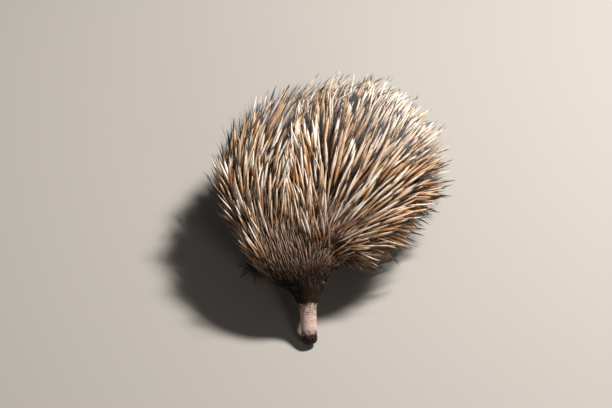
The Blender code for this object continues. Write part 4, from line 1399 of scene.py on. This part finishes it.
def grow_limb_fur(limbs, trunk_tree, finish):
    """Short fur that runs down the legs and over the tops of the paws."""
    draw = np.random.default_rng(LIMBS_SEED)
    parts = []
    for number, (paw, limb) in enumerate(zip(PAWS, limbs)):
        count = LIMB_HAIRS
        point, out = points_on(limb.data, count, draw)
        ahead = level_way(paw.heading)
        low = smooth_step(24 * MM, 10 * MM, point[:, 2])
        from_foot = point - paw_middle(paw) - SHIFT
        reach = along(from_foot, ahead)
        fan = unit(from_foot * np.array((1, 1, 0)) + ahead * 20 * MM)
        lie = -UP * (1 - low)[:, None] + (fan - UP * 0.35) * low[:, None]
        lie = lie + draw.normal(0, 0.16, (count, 3))
        lie = unit(lie - out * along(lie, out)[:, None])
        raised = math.radians(17) - math.radians(7) * low + draw.normal(0, math.radians(5), count)
        way = unit(turned_to(lie, out, raised))
        length = (15 - 8.0 * low) * draw.uniform(0.7, 1.2, count) * MM
        sole = (out[:, 2] < -0.25) & (point[:, 2] < 14 * MM)
        toe_ends = (reach > 17 * MM) & (point[:, 2] < 9 * MM)
        clear = np.array([trunk_tree.find_nearest(Vector(p))[3] > 2 * MM for p in point])
        hidden = np.array([enclosed(trunk_tree, Vector(p)) for p in point])
        keep = ~(sole | toe_ends | hidden) & (clear | (draw.uniform(size=count) < 0.5))
        keep &= (point + way * length[:, None])[:, 2] > 0.6 * MM
        around = np.arctan2(from_foot[:, 0], from_foot[:, 1]) / (2 * math.pi) % 1.0
        share = np.clip(point[:, 2] / (80 * MM), 0, 1)
        corner = np.array((number % 2, number // 2)) * 0.5
        maps = corner + MAP_EDGE + LIMB_MAP_SIZE * np.stack([around, share], -1)
        strands = Strands(
            point - SHIFT - out * 0.3 * MM,
            way,
            out,
            length,
            (0.42 - 0.14 * low) * draw.uniform(0.7, 1.2, count) * MM,
            np.full(count, 0.05),
            draw.normal(0, 0.08, count),
            maps,
            np.clip(draw.normal(0.45, 0.28, count), 0, 1),
            blended(np.array(LEG_HIDE), np.array(PAW_HIDE) * 0.75, low),
        )
        parts.append(picked(strands, keep))
    together = Strands(*(np.concatenate(values) for values in zip(*parts)))
    add_coat("limb_fur", "short_fur", together, HAIR_FORM, finish)


def grow_coat(limbs, trunk_tree):
    """All the pieces of the coat, from the spines to the fur of the limbs."""
    spine = spine_finish()
    hairs = {name: hair_finish(name, *hair) for name, hair in HAIR_FINISHES.items()}
    grow_spines(spine)
    for layer in BRISTLE_LAYERS:
        grow_bristles(layer, hairs["bristle"])
    for pelt in PELTS:
        grow_fur(pelt, hairs[pelt.finish])
    grow_limb_fur(limbs, trunk_tree, hairs["short_fur"])


def build_floor():
    """The plain pale floor."""
    shape = bmesh.new()
    bmesh.ops.create_grid(shape, x_segments=1, y_segments=1, size=FLOOR_HALF)
    floor = piece("floor", shape, Finish("pale_floor").done(Base_Color=FLOOR_COLOUR, Roughness=0.9))


def light_studio():
    """A soft light high on the right and a little behind, and weaker ones that fill the shade."""
    for lamp in LAMPS:
        light = bpy.data.lights.new(lamp.name, "AREA")
        light.size = lamp.size
        light.energy = lamp.power
        light.color = lamp.colour
        stand = bpy.data.objects.new(lamp.name, light)
        stand.location = lamp.place
        stand.rotation_euler = (Vector(LAMPS_AIM) - Vector(lamp.place)).to_track_quat("-Z", "Y").to_euler()
        bpy.context.scene.collection.objects.link(stand)
    world = bpy.data.worlds.new("studio")
    world.use_nodes = True
    air = world.node_tree.nodes["Background"].inputs
    air["Color"].default_value = AIR_COLOUR
    air["Strength"].default_value = AIR_POWER
    bpy.context.scene.world = world
    bpy.context.scene.view_settings.view_transform = "Standard"


def main():
    set_camera()
    trunk = build_trunk()
    trunk_tree = surface_tree(trunk)
    limbs = [build_limb(paw) for paw in PAWS]
    grow_coat(limbs, trunk_tree)
    join_skin(trunk, limbs)
    for limb in limbs:
        bpy.data.objects.remove(limb, do_unlink=True)
    trunk.data.materials.clear()
    trunk.data.materials.append(skin_finish())
    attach(trunk, "root")
    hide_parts("beak", "head", "neck", "torso", "tail", "ear_left", "ear_right")
    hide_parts(*[f"{part}_{paw.name}" for part in ("leg", "foot") for paw in PAWS])
    eye = eye_finish()
    horn = horn_finish()
    for side in (LEFT, RIGHT):
        build_eye(side, eye)
    for paw in PAWS:
        build_claws(paw, horn)
    build_floor()
    light_studio()


main()
